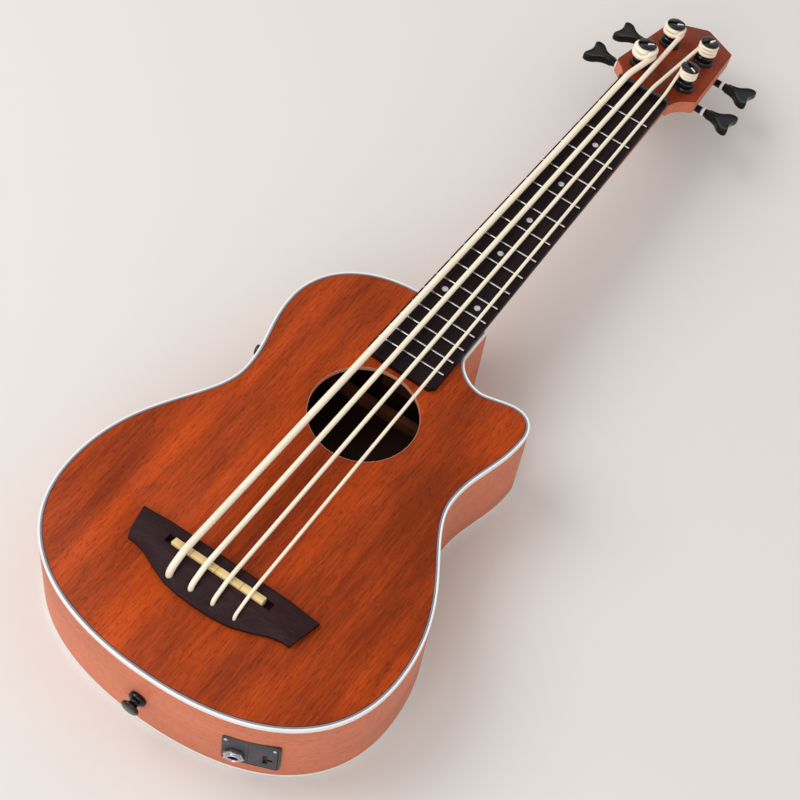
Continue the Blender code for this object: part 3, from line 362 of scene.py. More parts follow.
def pearl(name):
    """Mother of pearl: soft clouds of grey, pink and green under a gloss coat."""
    finish = Finish(name, 0.28, 0.15, Coat_Weight=0.5)
    clouds = finish.noise((520, 340, 520), 3.0, 0.6)
    stops = (
        (0.34, srgb(150, 152, 150)),
        (0.46, srgb(196, 194, 200)),
        (0.56, srgb(214, 208, 206)),
        (0.68, srgb(176, 184, 180)),
    )
    finish.feed("Base Color", finish.ramp(clouds, stops))
    finish.feed("Roughness", clouds * 0.2 + 0.18)
    return finish.material


def rubber(name, colour):
    """Matt rubber with faint lengthwise drift and fine surface dust."""
    finish = Finish(name, 0.48)
    drift = finish.noise((60, 24, 60), 3.0)
    fine = finish.noise((1400, 900, 1400), 2.0)
    shade = finish.blend(finish.step(drift, 0.3, 0.7), scaled(colour, 0.93), colour)
    finish.feed("Base Color", shade)
    finish.feed("Roughness", fine * 0.2 + 0.38)
    finish.bump(fine, 0.00004, 0.3)
    return finish.material


def toned(colour, low, high):
    """A wood's deep, base and pale tones."""
    return scaled(colour, low), colour, scaled(colour, high)


def make_finishes():
    """Every finish by name, with the colours that the panel holds."""
    tones = bpy.context.scene.ukulele_tones
    top = toned(tuple(tones.top_wood), 0.55, 1.45)
    side = toned(tuple(tones.side_wood), 0.84, 1.12)
    face = toned(tuple(tones.face_wood), 0.66, 1.30)
    spruce = toned(srgb(112, 66, 44), 0.7, 1.25)
    dark = toned(srgb(31, 18, 19), 0.5, 1.7)
    plum = toned(srgb(43, 23, 26), 0.6, 1.6)
    return {
        "wood_top": wood("top mahogany", top, 0.44),
        "wood_side": wood("side mahogany", side, 0.44, 0.8, 0.35, "UV"),
        "neck_wood": wood("neck mahogany", side, 0.44, 0.9, 0.35),
        # The back's inner face, above 1.4 mm, carries painted shade for the dark inside of the
        # body
        "back_wood": wood("back mahogany", side, 0.44, 0.9, 0.35, painted_shade_above=0.0014),
        "wood_inner": wood("inner spruce", spruce, 0.75, 1.3, 0.1),
        "bare_edge": moulded("bare cut edge", srgb(212, 152, 122), 0.7),
        "wood_veneer": wood("face veneer", face, 0.40, 1.1, 0.4),
        "rosewood": wood("fretboard rosewood", dark, 0.46, 1.3, 0.6),
        "bridge_wood": wood("bridge rosewood", plum, 0.46, 1.3, 0.5, "X"),
        "binding": moulded("white binding", srgb(238, 236, 234), 0.34, spread=0.04),
        "purfling_grey": moulded("grey purfling", srgb(136, 134, 144), 0.38, spread=0.08),
        "purfling_dark": moulded("dark purfling", srgb(46, 36, 40), 0.40, spread=0.08),
        "pearl": pearl("pearl dot"),
        "nut_black": moulded("black nut", srgb(20, 20, 25), 0.36),
        "bone": moulded("bone saddle", srgb(236, 206, 142), 0.42, spread=0.16),
        "fret_metal": moulded("nickel silver", srgb(208, 206, 202), 0.26, 1.0),
        "string_rubber": rubber("string rubber", tuple(tones.string)),
        "black_metal": moulded("gloss black metal", srgb(12, 12, 17), 0.13, gloss=0.4),
        "key_black": moulded("moulded black key", srgb(12, 11, 12), 0.22, gloss=0.2),
        "grey_plastic": moulded("grey plastic", srgb(64, 62, 69), 0.46, gloss=0.35),
        # Painted shade: near black for the jack's bore and the door's latch recess, which lie in
        # shade
        "painted_shade_black": moulded("painted shade black", srgb(12, 12, 14), 0.6),
        "chrome": moulded("chrome", srgb(205, 205, 212), 0.18, 1.0),
        "knob_black": moulded("black knob", srgb(22, 22, 24), 0.42),
        "battery_skin": moulded("battery jacket", srgb(110, 112, 122), 0.35, 0.6),
    }


LOOKS = {"neck": "neck_wood"}
FINISHES = {}


def deselect():
    for obj in list(bpy.context.selected_objects):
        obj.select_set(False)


def activate(obj):
    deselect()
    obj.select_set(True)
    bpy.context.view_layer.objects.active = obj


def edit(piece):
    """Enter edit mode on a piece with all of it selected."""
    activate(piece)
    bpy.ops.object.mode_set(mode="EDIT")
    bpy.ops.mesh.select_mode(type="FACE")
    bpy.ops.mesh.select_all(action="SELECT")


def leave():
    bpy.ops.object.mode_set(mode="OBJECT")


def closed(piece):
    """Merge doubled points and turn every face outwards."""
    edit(piece)
    bpy.ops.mesh.remove_doubles(threshold=MERGE)
    bpy.ops.mesh.normals_make_consistent(inside=False)
    leave()
    return piece


def modify(piece, kind, **settings):
    """Add a modifier with its settings and apply it."""
    modifier = piece.modifiers.new(kind.lower(), kind)
    for name, value in settings.items():
        setattr(modifier, name, value)
    activate(piece)
    bpy.ops.object.modifier_apply(modifier=modifier.name)


def rounded(piece, width, segments=2, angle=30.0):
    """Round a piece's sharp edges."""
    modify(
        piece, "BEVEL", width=width, segments=segments, limit_method="ANGLE",
        angle_limit=math.radians(angle), use_clamp_overlap=True,
    )


def smoothed(piece, angle=35.0):
    activate(piece)
    bpy.ops.object.shade_smooth_by_angle(angle=math.radians(angle))
    return piece


def settled(piece, place=None):
    """Put a piece in its place and move that place into its mesh."""
    if place is not None:
        piece.matrix_world = place
    activate(piece)
    bpy.ops.object.transform_apply(location=True, rotation=True, scale=True)
    return piece


def cut(piece, *tools):
    """Cut tools out of a piece and remove them."""
    for tool in tools:
        modify(piece, "BOOLEAN", operation="DIFFERENCE", solver="EXACT", object=tool)
        bpy.data.objects.remove(tool)
    return piece


def dress(piece, slot, body, *nodes, look=None):
    """Give a piece the material of its look or slot and its body; hide the nodes it stands for.
    """
    piece.data.materials.clear()
    piece.data.materials.append(FINISHES[look or slot])
    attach(piece, body)
    if nodes:
        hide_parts(*nodes)
    return piece


def refine(node, bevel=0.0, angle=35.0):
    """Stand a merged, bevelled and smoothly shaded copy in for a node."""
    activate(frame["nodes"][node])
    bpy.ops.object.duplicate()
    piece = bpy.context.active_object
    for key in list(piece.keys()):
        del piece[key]
    piece.parent = None
    piece.matrix_world = Matrix.Identity(4)
    piece.name = node + "_finish"
    closed(piece)
    edit(piece)
    bpy.ops.mesh.dissolve_limited(angle_limit=math.radians(0.6))
    leave()
    if bevel:
        rounded(piece, bevel, 2, angle)
    smoothed(piece, angle)
    return dress(piece, SLOTS[node], BODY_OF[node], node, look=LOOKS.get(node))


def squeezed(piece, across, along):
    """Narrow a piece along X and Y about its middle."""
    places = [vertex.co.y for vertex in piece.data.vertices]
    middle = (min(places) + max(places)) / 2
    edit(piece)
    bpy.ops.transform.resize(value=(across, along, 1), center_override=(0, middle, 0))
    leave()
    return piece


def blank(name, outline, height):
    """A filled circle whose corners are moved to a plan outline at one height."""
    deselect()
    bpy.ops.mesh.primitive_circle_add(vertices=len(outline), radius=0.1, fill_type="NGON")
    piece = bpy.context.active_object
    piece.name = name
    for vertex, point in zip(piece.data.vertices, outline):
        vertex.co = (point[0], point[1], height)
    return piece


def raised(name, outline, low, high):
    """A plate with a plan outline, between two heights."""
    piece = blank(name, outline, low)
    edit(piece)
    bpy.ops.mesh.extrude_region_move(TRANSFORM_OT_translate={"value": (0, 0, high - low)})
    leave()
    return closed(piece)


def lathed(name, profile, steps=48, place=None):
    """Turn rows of radius and height about Z: a disc, extruded and scaled row by row."""
    radius, low = profile[0]
    deselect()
    bpy.ops.mesh.primitive_circle_add(
        vertices=steps, radius=radius, fill_type="NGON", location=(0, 0, low)
    )
    piece = bpy.context.active_object
    piece.name = name
    settled(piece)
    edit(piece)
    for after, high in profile[1:]:
        bpy.ops.mesh.extrude_region_move(TRANSFORM_OT_translate={"value": (0, 0, high - low)})
        if after != radius:
            share = after / radius
            bpy.ops.transform.resize(value=(share, share, 1), center_override=(0, 0, high))
        radius, low = after, high
    leave()
    closed(piece)
    return settled(piece, place) if place is not None else piece


def ringed(name, profile, steps):
    """Turn a closed profile of radius and height, clear of the axis, about Z."""
    deselect()
    bpy.ops.mesh.primitive_circle_add(vertices=len(profile), radius=0.001, fill_type="NGON")
    piece = bpy.context.active_object
    piece.name = name
    for vertex, (radius, height) in zip(piece.data.vertices, profile):
        vertex.co = (radius, 0, height)
    edit(piece)
    bpy.ops.mesh.delete(type="ONLY_FACE")
    bpy.ops.mesh.select_all(action="SELECT")
    bpy.ops.mesh.spin(
        steps=steps, angle=2 * math.pi, center=(0, 0, 0), axis=(0, 0, 1), use_normal_flip=False
    )
    leave()
    return closed(piece)


def select_facing(piece, normal):
    """Enter edit mode with only the widest face that looks along a normal selected."""
    edit(piece)
    bpy.ops.mesh.select_all(action="DESELECT")
    leave()
    facing = [face for face in piece.data.polygons if face.normal.dot(normal) > 0.99]
    max(facing, key=lambda face: face.area).select = True
    bpy.ops.object.mode_set(mode="EDIT")


def bezier(start, first, second, end, steps):
    """Points along a cubic curve, without its end point."""
    points = []
    for k in range(steps):
        t = k / steps
        s = 1 - t
        points.append(
            s ** 3 * start + 3 * s * s * t * first + 3 * s * t * t * second + t ** 3 * end
        )
    return points


def heading(degrees):
    angle = math.radians(degrees)
    return Vector((math.cos(angle), math.sin(angle)))


def body_outline():
    """The body's plan, close enough to pass for a smooth curve."""
    points = []
    for node, after in zip(BODY_NODES, BODY_NODES[1:] + BODY_NODES[:1]):
        start = Vector(node[:2])
        end = Vector(after[:2])
        if node[5] == 1:
            points.append(start)
            continue
        first = start + heading(node[2]) * node[4]
        second = end - heading(after[2]) * after[3]
        points += bezier(start, first, second, end, node[5])
    return points


def body_strip(name, outer, inner, low, high):
    """Part of the body between two insets from its outline; no inner inset keeps the middle."""
    piece = blank(name, body_outline(), low)
    edit(piece)
    if outer:
        bpy.ops.mesh.inset(thickness=outer)
        bpy.ops.mesh.select_all(action="INVERT")
        bpy.ops.mesh.delete(type="FACE")
        bpy.ops.mesh.select_all(action="SELECT")
    if inner:
        bpy.ops.mesh.inset(thickness=inner - outer)
        bpy.ops.mesh.delete(type="FACE")
        bpy.ops.mesh.select_all(action="SELECT")
    bpy.ops.mesh.extrude_region_move(TRANSFORM_OT_translate={"value": (0, 0, high - low)})
    leave()
    return closed(piece)


OUTPUT = Matrix((OUTPUT_ALONG, OUTPUT_OUT, Vector((0, 0, 1)))).transposed().to_4x4()
OUTPUT.translation = OUTPUT_START
PREAMP = Matrix((PREAMP_ALONG, PREAMP_OUT, Vector((0, 0, 1)))).transposed().to_4x4()
PREAMP.translation = PREAMP_START


def block(name, low, high, place=None):
    """A box between two corners of a frame, used to cut an opening."""
    outline = ((low[0], low[1]), (high[0], low[1]), (high[0], high[1]), (low[0], high[1]))
    piece = raised(name, outline, low[2], high[2])
    return settled(piece, place) if place is not None else piece


def trimmed(piece, point, normal):
    """Cut off what lies beyond a plane and close the cut."""
    edit(piece)
    bpy.ops.mesh.bisect(plane_co=point, plane_no=normal, use_fill=True, clear_outer=True)
    leave()
    return smoothed(piece)


def copied(piece, name, place):
    """A copy of a piece in its own mesh, moved to its place."""
    activate(piece)
    bpy.ops.object.duplicate()
    twin = bpy.context.active_object
    twin.name = name
    return settled(twin, place)


def wrapped(piece):
    """Map a strip of the body by its length along the outline and by its height."""
    outline = body_outline()
    reach = [0.0]
    for point, after in zip(outline, outline[1:] + outline[:1]):
        reach.append(reach[-1] + (after - point).length)
    tree = KDTree(len(outline))
    for k, point in enumerate(outline):
        tree.insert(point.to_3d(), k)
    tree.balance()
    mesh = piece.data
    layer = mesh.uv_layers.active or mesh.uv_layers.new(name="along")
    for face in mesh.polygons:
        values = []
        for loop in face.loop_indices:
            place = mesh.vertices[mesh.loops[loop].vertex_index].co
            _, k, _ = tree.find(Vector((place.x, place.y, 0.0)))
            values.append((reach[k], place.z))
        wide = max(value for value, _ in values) - min(value for value, _ in values)
        for loop, (value, height) in zip(face.loop_indices, values):
            if wide > reach[-1] / 2 and value < reach[-1] / 2:
                value += reach[-1]
            layer.data[loop].uv = (value, height)
    return piece


def eased(value):
    """Smooth share from 0 to 1."""
    share = min(1.0, max(0.0, value))
    return share * share * (3 - 2 * share)


def rounded_route(points, radius, steps=8):
    """Route through corner points, each interior corner rounded by a short curve."""
    route = [points[0]]
    for before, corner, after in zip(points, points[1:], points[2:]):
        into = (corner - before).normalized()
        out = (after - corner).normalized()
        reach = min(radius, (corner - before).length * 0.45, (after - corner).length * 0.45)
        start = corner - into * reach
        end = corner + out * reach
        for k in range(steps + 1):
            t = k / steps
            route.append((1 - t) ** 2 * start + 2 * t * (1 - t) * corner + t * t * end)
    route.append(points[-1])
    return route


def string_rows(name, diameter, at_nut, rows):
    """Turns on a post: each row lies flat and climbs to the next beside its own start."""
    across, along = POSTS[name]
    radius = POST_R + diameter / 2 + 0.0001
    to_nut = Vector((at_nut - across, -along))
    way = 1 if across < 0 else -1
    start = math.atan2(to_nut.y, to_nut.x) + way * math.acos(radius / to_nut.length)
    pitch = diameter + TURN_GAP
    low = TURN_TOP - diameter / 2 - (rows - 1) * pitch
    last = rows - 1 + ROW_END
    points = []
    for k in range(round(TURN_STEPS * (last + TAIL_SHARE)) + 1):
        turn = k / TURN_STEPS
        row = int(turn)
        climb = eased((turn - row - CLIMB_START) / CLIMB_SHARE) if row < rows - 1 else 0.0
        inward = 1 - TAIL_REACH * eased((turn - last) / TAIL_SHARE)
        angle = start + way * 2 * math.pi * turn
        x = across + radius * inward * math.cos(angle)
        y = along + radius * inward * math.sin(angle)
        points.append(HEAD @ Vector((x, y, low + (row + climb) * pitch)))
    return points


def tube(name, points, diameter, radii):
    """A smooth tube along points, turned into a mesh."""
    curve = bpy.data.curves.new(name, "CURVE")
    curve.dimensions = "3D"
    curve.bevel_depth = diameter / 2
    curve.bevel_resolution = 6
    curve.use_fill_caps = True
    spline = curve.splines.new("POLY")
    spline.points.add(len(points) - 1)
    for k, point in enumerate(points):
        spline.points[k].co = (*point, 1.0)
        spline.points[k].radius = radii[k] if k < len(radii) else 1.0
    spline.use_smooth = True
    piece = bpy.data.objects.new(name, curve)
    bpy.context.scene.collection.objects.link(piece)
    activate(piece)
    bpy.ops.object.convert(target="MESH")
    return smoothed(bpy.context.active_object, 60)


class UkuleleTones(PropertyGroup):
    top_wood: FloatVectorProperty(
        name="Top wood", description="Colour of the top plate", subtype="COLOR",
        default=srgb(167, 62, 14),
    )
    side_wood: FloatVectorProperty(
        name="Side wood", description="Colour of sides, back and neck", subtype="COLOR",
        default=srgb(212, 125, 94),
    )
    face_wood: FloatVectorProperty(
        name="Headstock face", description="Colour of the headstock's veneer", subtype="COLOR",
        default=srgb(134, 49, 20),
    )
    string: FloatVectorProperty(
        name="Strings", description="Colour of the strings", subtype="COLOR",
        default=srgb(252, 239, 216),
    )
    floor: FloatVectorProperty(
        name="Floor", description="Colour of the floor", subtype="COLOR",
        default=srgb(226, 222, 218),
    )


class UkuleleSizes(PropertyGroup):
    white_strip: FloatProperty(
        name="White strip", description="Width of the white binding on the top",
        subtype="DISTANCE", default=0.0015,
    )
    grey_strip: FloatProperty(
        name="Grey strip", description="Inset at which the grey purfling ends",
        subtype="DISTANCE", default=0.0026,
    )
    dot: FloatProperty(
        name="Dot diameter", description="Diameter of a fretboard dot", subtype="DISTANCE",
        default=0.0046,
    )
    washer: FloatProperty(
        name="Washer diameter", description="Diameter of a key's washer", subtype="DISTANCE",
        default=0.0076,
    )
    key_half: FloatProperty(
        name="Key half width", description="From a key's shaft to the edge of a lobe",
        subtype="DISTANCE", default=0.0138,
    )


class UKULELE_OT_finishes(Operator):
    """Make every finish"""

    bl_idname = "ukulele.finishes"
    bl_label = "Make finishes"

    def execute(self, context):
        FINISHES.update(make_finishes())
        return {"FINISHED"}


class UKULELE_OT_plates(Operator):
    """Make the top with its sound hole, and the back"""

    bl_idname = "ukulele.plates"
    bl_label = "Make top and back"

    def execute(self, context):
        top = body_strip("top_plate_finish", TOP_INSET, 0, TOP_Z - PLATE, TOP_Z)
        hole = lathed("hole_cutter", ((HOLE_R, -0.01), (HOLE_R, 0.01)), 128)
        settled(hole, Matrix.Translation((0, HOLE_Y, TOP_Z)))
        cut(top, hole, *self.string_holes())
        rounded(top, 0.0002, 2, 60)
        dress(smoothed(top), "wood_top", "instrument", "top_plate")
        self.add_hole_edge()
        back = body_strip("back_plate_finish", BACK_INSET, 0, 0, PLATE)
        rounded(back, 0.0002, 2, 60)
        dress(smoothed(back), "wood_side", "instrument", "back_plate", look="back_wood")
        return {"FINISHED"}

    def string_holes(self):
        holes = []
        for name, _, diameter, _, at_saddle, _, _ in STRINGS:
            radius = diameter / 2 + STRING_HOLE_CLEARANCE
            hole = lathed("string_hole_" + name, ((radius, -0.01), (radius, 0.01)), 24)
            holes.append(settled(hole, Matrix.Translation((at_saddle, STRING_HOLE_Y, TOP_Z))))
        return holes

    def add_hole_edge(self):
        """The bare cut edge of the sound hole, paler than the finished face."""
        inner = HOLE_R - HOLE_EDGE
        low = -PLATE - 0.0008
        profile = ((HOLE_R - HAIR, low), (HOLE_R - HAIR, -0.0001), (inner, -0.0001), (inner, low))
        ring = ringed("sound_hole_edge", profile, 128)
        settled(ring, Matrix.Translation((0, HOLE_Y, TOP_Z)))
        dress(smoothed(ring), "wood_inner", "instrument", look="bare_edge")


class UKULELE_OT_sides(Operator):
    """Make the bent sides, their linings, the bindings and the purflings"""

    bl_idname = "ukulele.sides"
    bl_label = "Make sides and bindings"

    def execute(self, context):
        sizes = context.scene.ukulele_sizes
        white = sizes.white_strip
        grey = sizes.grey_strip
        self.add_strip("top_binding_white", 0, white, BINDING_LOW, TOP_Z, "binding",
                       "top_binding")
        under = TOP_Z - PLATE + HAIR
        self.add_strip("purfling_grey", white + HAIR, grey, under, TOP_Z, "purfling_grey")
        self.add_strip("purfling_dark", grey + HAIR, TOP_INSET - HAIR, under, TOP_Z,
                       "purfling_dark")
        self.add_strip("back_binding_white", 0, BACK_INSET - HAIR, 0, BACK_BINDING, "binding",
                       "back_binding")
        self.add_sides()
        for name, low, high in (
            ("lining_top", TOP_Z - PLATE - LINING_DEPTH, TOP_Z - PLATE),
            ("lining_back", PLATE, PLATE + LINING_DEPTH),
        ):
            lining = body_strip(name, WALL + HAIR, WALL + LINING, low, high)
            rounded(lining, 0.0012, 2, 60)
            dress(smoothed(lining), "wood_side", "instrument", look="wood_inner")
        for node in ("neck_block", "tail_block", "bridge_plate"):
            refine(node, 0.0006)
        squeezed(refine("back_brace", 0.0006), 1, BRACE_SHARE)
        return {"FINISHED"}

    def add_strip(self, name, outer, inner, low, high, look, *nodes):
        strip = body_strip(name, outer, inner, low, high)
        rounded(strip, 0.0002 if outer else 0.0005, 3, 60)
        dress(smoothed(strip), "binding", "instrument", *nodes, look=look)

    def add_sides(self):
        """One bent wall with its two openings, parted at the tail and the neck."""
        wall = body_strip("side_wall", 0, WALL, BACK_BINDING + HAIR, BINDING_LOW - HAIR)
        wrapped(wall)
        cut(
            wall,
            block("tray_opening", (0.0152, -0.02, 0.01475), (0.0368, 0.02, 0.04675), OUTPUT),
            block("jack_opening", (0.0007, -0.02, 0.0182), (0.0205, 0.02, 0.0358), OUTPUT),
            block("preamp_opening", (-0.0088, -0.02, 0.0162), (0.0088, 0.02, 0.0478), PREAMP),
        )
        for node, side in (("body_side_bass", -1), ("body_side_treble", 1)):
            half = copied(wall, node + "_finish", Matrix.Identity(4))
            trimmed(half, (side * HAIR / 2, 0, 0), (-side, 0, 0))
            dress(half, "wood_side", "instrument", node)
        bpy.data.objects.remove(wall)


class UKULELE_OT_neck(Operator):
    """Finish the neck, the fretboard, its frets and dots, and the nut"""

    bl_idname = "ukulele.neck"
    bl_label = "Finish the neck"

    def execute(self, context):
        self.slim(refine("neck", 0.0006))
        refine("headstock_veneer", 0.0002)
        refine("fretboard", 0.0003)
        refine("nut", 0.0004)
        for node in sorted(frame["nodes"]):
            if node.startswith("fret_"):
                squeezed(refine(node, 0.0002), *FRET_SHARES)
        self.add_dots(context.scene.ukulele_sizes.dot)
        return {"FINISHED"}

    def slim(self, neck):
        """Draw the neck's sides in with depth, which also tapers the heel to the back."""
        for vertex in neck.data.vertices:
            depth = max(0.0, TOP_Z - vertex.co.z)
            fade = eased((NECK_TAPER_END - vertex.co.y) / NECK_TAPER_FADE)
            vertex.co.x *= 1 - NECK_TAPER * fade * depth / TOP_Z

    def add_dots(self, diameter):
        radius = diameter / 2
        profile = ((radius, -0.0003), (radius, 0), (radius - 0.0001, 0.0001))
        dot = lathed("fretboard_dot", profile, 40)
        places = [(number, 0.0) for number in (3, 5, 7, 9)]
        places += [(12, -DOT_ACROSS), (12, DOT_ACROSS)]
        for k, (number, across) in enumerate(places):
            low = SCALE_LENGTH / 2 ** (number / 12)
            high = SCALE_LENGTH / 2 ** ((number - 1) / 12)
            place = Matrix.Translation((across, (low + high) / 2, BOARD_Z))
            twin = copied(dot, "fretboard_dot_%d" % (k + 1), place)
            dress(smoothed(twin), "fret_metal", "instrument", look="pearl")
        bpy.data.objects.remove(dot)


class UKULELE_OT_bridge(Operator):
    """Finish the bridge and the parted saddle"""

    bl_idname = "ukulele.bridge"
    bl_label = "Finish the bridge"

    def execute(self, context):
        bridge = refine("bridge", 0.0005, 25)
        dress(bridge, "rosewood", "instrument", "bridge", look="bridge_wood")
        saddle = refine("saddle", 0.0004)
        gaps = []
        for k, x in enumerate(SADDLE_GAPS):
            low = (x - 0.0002, -0.01, TOP_Z + 0.0072)
            high = (x + 0.0002, 0.01, TOP_Z + 0.0150)
            gaps.append(block("saddle_gap_%d" % k, low, high))
        cut(saddle, *gaps)
        smoothed(saddle)
        return {"FINISHED"}


class UKULELE_OT_strings(Operator):
    """Make the four strings from bead to winding"""

    bl_idname = "ukulele.strings"
    bl_label = "Make strings"

    def execute(self, context):
        for string in STRINGS:
            self.add_string(*string)
        return {"FINISHED"}

    def add_string(self, name, node, diameter, at_nut, at_saddle, crown, rows):
        half = diameter / 2
        crest = min(STRING_AT_SADDLE_Z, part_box(node)[1].z - diameter) + half
        turns = string_rows(name, diameter, at_nut, rows)
        bead = []
        radii = []
        wide = 1 + 0.0018 / half
        for drop, share in ((0.0072, 0.7), (0.0066, 0.93), (0.0060, 1.0), (0.0018, 1.0),
                            (0.0010, 0.93), (0.0004, 0.7)):
            bead.append(Vector((at_saddle, STRING_HOLE_Y, BEAD_TOP_Z - drop)))
            radii.append(wide * share)
        corners = [
            Vector((at_saddle, STRING_HOLE_Y, BEAD_TOP_Z - 0.0003)),
            Vector((at_saddle, STRING_HOLE_Y, STRING_BEND_Z + half * 1.1)),
            Vector((at_saddle, crown, crest)),
            Vector((at_nut, NUT_BACK + 0.0010, STRING_AT_NUT_Z + half)),
            turns[0],
        ]
        route = rounded_route(corners, half + 0.0030)
        string = tube("string_%s_finish" % name, bead + route[:-1] + turns, diameter, radii)
        dress(string, "string_rubber", "instrument", node)


class UKULELE_OT_tuners(Operator):
    """Make posts, bushings, keys and washers, and finish the plates and gears"""

    bl_idname = "ukulele.tuners"
    bl_label = "Make tuners"

    def execute(self, context):
        sizes = context.scene.ukulele_sizes
        patterns = {
            "cap": self.make_cap(),
            "bushing": self.make_bushing(),
            "blade": self.make_blade(sizes.key_half),
            "cone": self.make_cone(),
            "washer": self.make_washer(sizes.washer / 2),
        }
        for name, (across, along) in POSTS.items():
            post = HEAD @ Matrix.Translation((across, along, 0))
            refine("tuner_plate_" + name, 0.0002)
            self.place_post(name, post, patterns)
            self.place_key(name, post, -1 if across < 0 else 1, patterns)
        for pattern in patterns.values():
            bpy.data.objects.remove(pattern)
        return {"FINISHED"}

    def make_cap(self):
        """Spool of a post: lower flange, shaft, and a slotted cap."""
        low = BUSH_TOP + GAP
        cap_low = CAP_TOP - CAP_DEPTH
        profile = (
            (SHAFT_R, -0.0018), (SHAFT_R, low), (FLANGE_R - 0.0006, low),
            (FLANGE_R, low + 0.0006), (FLANGE_R, FLANGE_TOP - 0.0008),
            (FLANGE_R - 0.0008, FLANGE_TOP), (POST_R, FLANGE_TOP), (POST_R, cap_low),
            (CAP_R - 0.0004, cap_low), (CAP_R, cap_low + 0.0004), (CAP_R, CAP_TOP - 0.0009),
            (CAP_R - 0.0004, CAP_TOP - 0.0003), (CAP_R - 0.0011, CAP_TOP),
        )
        cap = lathed("post_cap", profile, 64)
        half = CAP_SLOT / 2
        slot = block("cap_slot", (-0.02, -half, CAP_TOP - 0.0015), (0.02, half, 0.03))
        well = lathed("cap_well", ((0.0024, CAP_TOP - 0.0035), (0.0024, 0.03)), 32)
        cut(cap, slot, well)
        rounded(cap, 0.00025, 2, 40)
        return cap

    def make_bushing(self):
        bore = SHAFT_R + GAP
        profile = (
            (bore, -0.0080), (0.0063, -0.0080), (0.0063, GAP), (BUSH_R, GAP),
            (BUSH_R, 0.0012), (BUSH_R - 0.0005, 0.0015), (BUSH_R - 0.0005, 0.0018),
            (BUSH_R - 0.0012, BUSH_TOP), (bore, BUSH_TOP),
        )
        return ringed("bushing", profile, 64)

    def make_blade(self, half):
        """Lobed key blade with rounded edges and a shallow dish in both faces."""
        outline = []
        for start, first, second, end, steps in (
            ((0.0240, 0.25), (0.0300, 0.26), (0.0335, 0.42), (0.0362, 0.68), 10),
            ((0.0362, 0.68), (0.0382, 0.87), (0.0408, 1.0), (0.0434, 1.0), 8),
            ((0.0434, 1.0), (0.0464, 1.0), (0.0472, 0.80), (0.0462, 0.62), 8),
            ((0.0462, 0.62), (0.0452, 0.42), (0.0446, 0.20), (0.0446, 0.0), 8),
        ):
            corners = [Vector((x, y * half)) for x, y in (start, first, second, end)]
            outline += bezier(*corners, steps)
        outline = outline + [Vector((0.0446, 0.0))]
        outline += [Vector((point.x, -point.y)) for point in reversed(outline[:-1])]
        rim = KEY_THICK / 2 - sum(rise for rise, _ in KEY_RIM)
        blade = raised("key_blade", outline, -rim, rim)
        for side in (-1, 1):
            select_facing(blade, Vector((0, 0, side)))
            for rise, share in KEY_RIM + KEY_DISH:
                move = {"value": (0, 0, side * rise)}
                bpy.ops.mesh.extrude_region_move(TRANSFORM_OT_translate=move)
                bpy.ops.transform.resize(value=(share, share, 1), center_override=KEY_MIDDLE)
            leave()
        return smoothed(blade, 50)

    def make_cone(self):
        """Bearing stub, and the cone that carries the blade, about Z."""
        profile = (
            (0.0030, 0.0150), (0.0030, WASHER[0]), (0.0016, WASHER[0]), (0.0016, WASHER[1]),
            (0.0031, WASHER[1]), (0.0033, WASHER[1] + 0.0004), (0.0034, 0.0262),
            (0.0030, 0.0300), (0.0022, 0.0330),
        )
        return smoothed(lathed("key_cone", profile, 40), 40)

    def make_washer(self, radius):
        low, high = WASHER
        profile = (
            (0.0018, low + GAP / 3), (radius - 0.0006, low + GAP / 3),
            (radius, low + 0.0007), (radius, high - 0.0007),
            (radius - 0.0006, high - GAP / 3), (0.0018, high - GAP / 3),
        )
        return smoothed(ringed("key_washer", profile, 48), 50)

    def place_post(self, name, post, patterns):
        body = "post_" + name
        gear = refine("tuner_post_" + name, 0.0001)
        trimmed(gear, post @ Vector((0, 0, -0.0020)), post.to_3x3() @ Vector((0, 0, 1)))
        turn = Matrix.Rotation(math.radians(SLOT_ANGLES[name]), 4, "Z")
        cap = copied(patterns["cap"], "post_spool_" + name, post @ turn)
        dress(smoothed(cap, 40), "black_metal", body)
        bushing = copied(patterns["bushing"], "bushing_%s_finish" % name, post)
        dress(smoothed(bushing, 40), "black_metal", "instrument", "tuner_bushing_" + name)
        self.add_string_end(name, post @ turn, body)

    def add_string_end(self, name, place, body):
        """The string's cut end, which lies in the cap's slot."""
        diameter = next(row[2] for row in STRINGS if row[0] == name)
        radius = min(diameter, CAP_SLOT - 0.0006) / 2
        profile = (
            (radius * 0.7, 0.0006), (radius * 0.95, 0.0009), (radius, 0.0013),
            (radius, 0.0052), (radius * 0.9, 0.0056), (radius * 0.6, 0.0058),
        )
        end = lathed("string_end_" + name, profile, 24)
        height = CAP_TOP - 0.0003 - radius
        settled(end, place @ Matrix.Translation((0, 0, height)) @ TO_X)
        dress(smoothed(end, 60), "string_rubber", body)

    def place_key(self, name, post, side, patterns):
        body = "key_" + name
        axis = post @ Matrix.Translation((0, WORM_OFFSET, SHAFT_LIFT))
        if side < 0:
            axis = axis @ Matrix.Rotation(math.pi, 4, "Y")
        worm = refine("tuner_key_" + name, 0.0)
        trimmed(worm, axis @ Vector((0.0152, 0, 0)), axis.to_3x3() @ Vector((1, 0, 0)))
        blade = copied(patterns["blade"], "key_blade_" + name, axis)
        dress(smoothed(blade, 50), "black_metal", body, look="key_black")
        cone = copied(patterns["cone"], "key_cone_" + name, axis @ TO_X)
        dress(smoothed(cone, 40), "black_metal", body, look="key_black")
        washer = copied(patterns["washer"], "key_washer_" + name, axis @ TO_X)
        dress(smoothed(washer, 50), "binding", body)


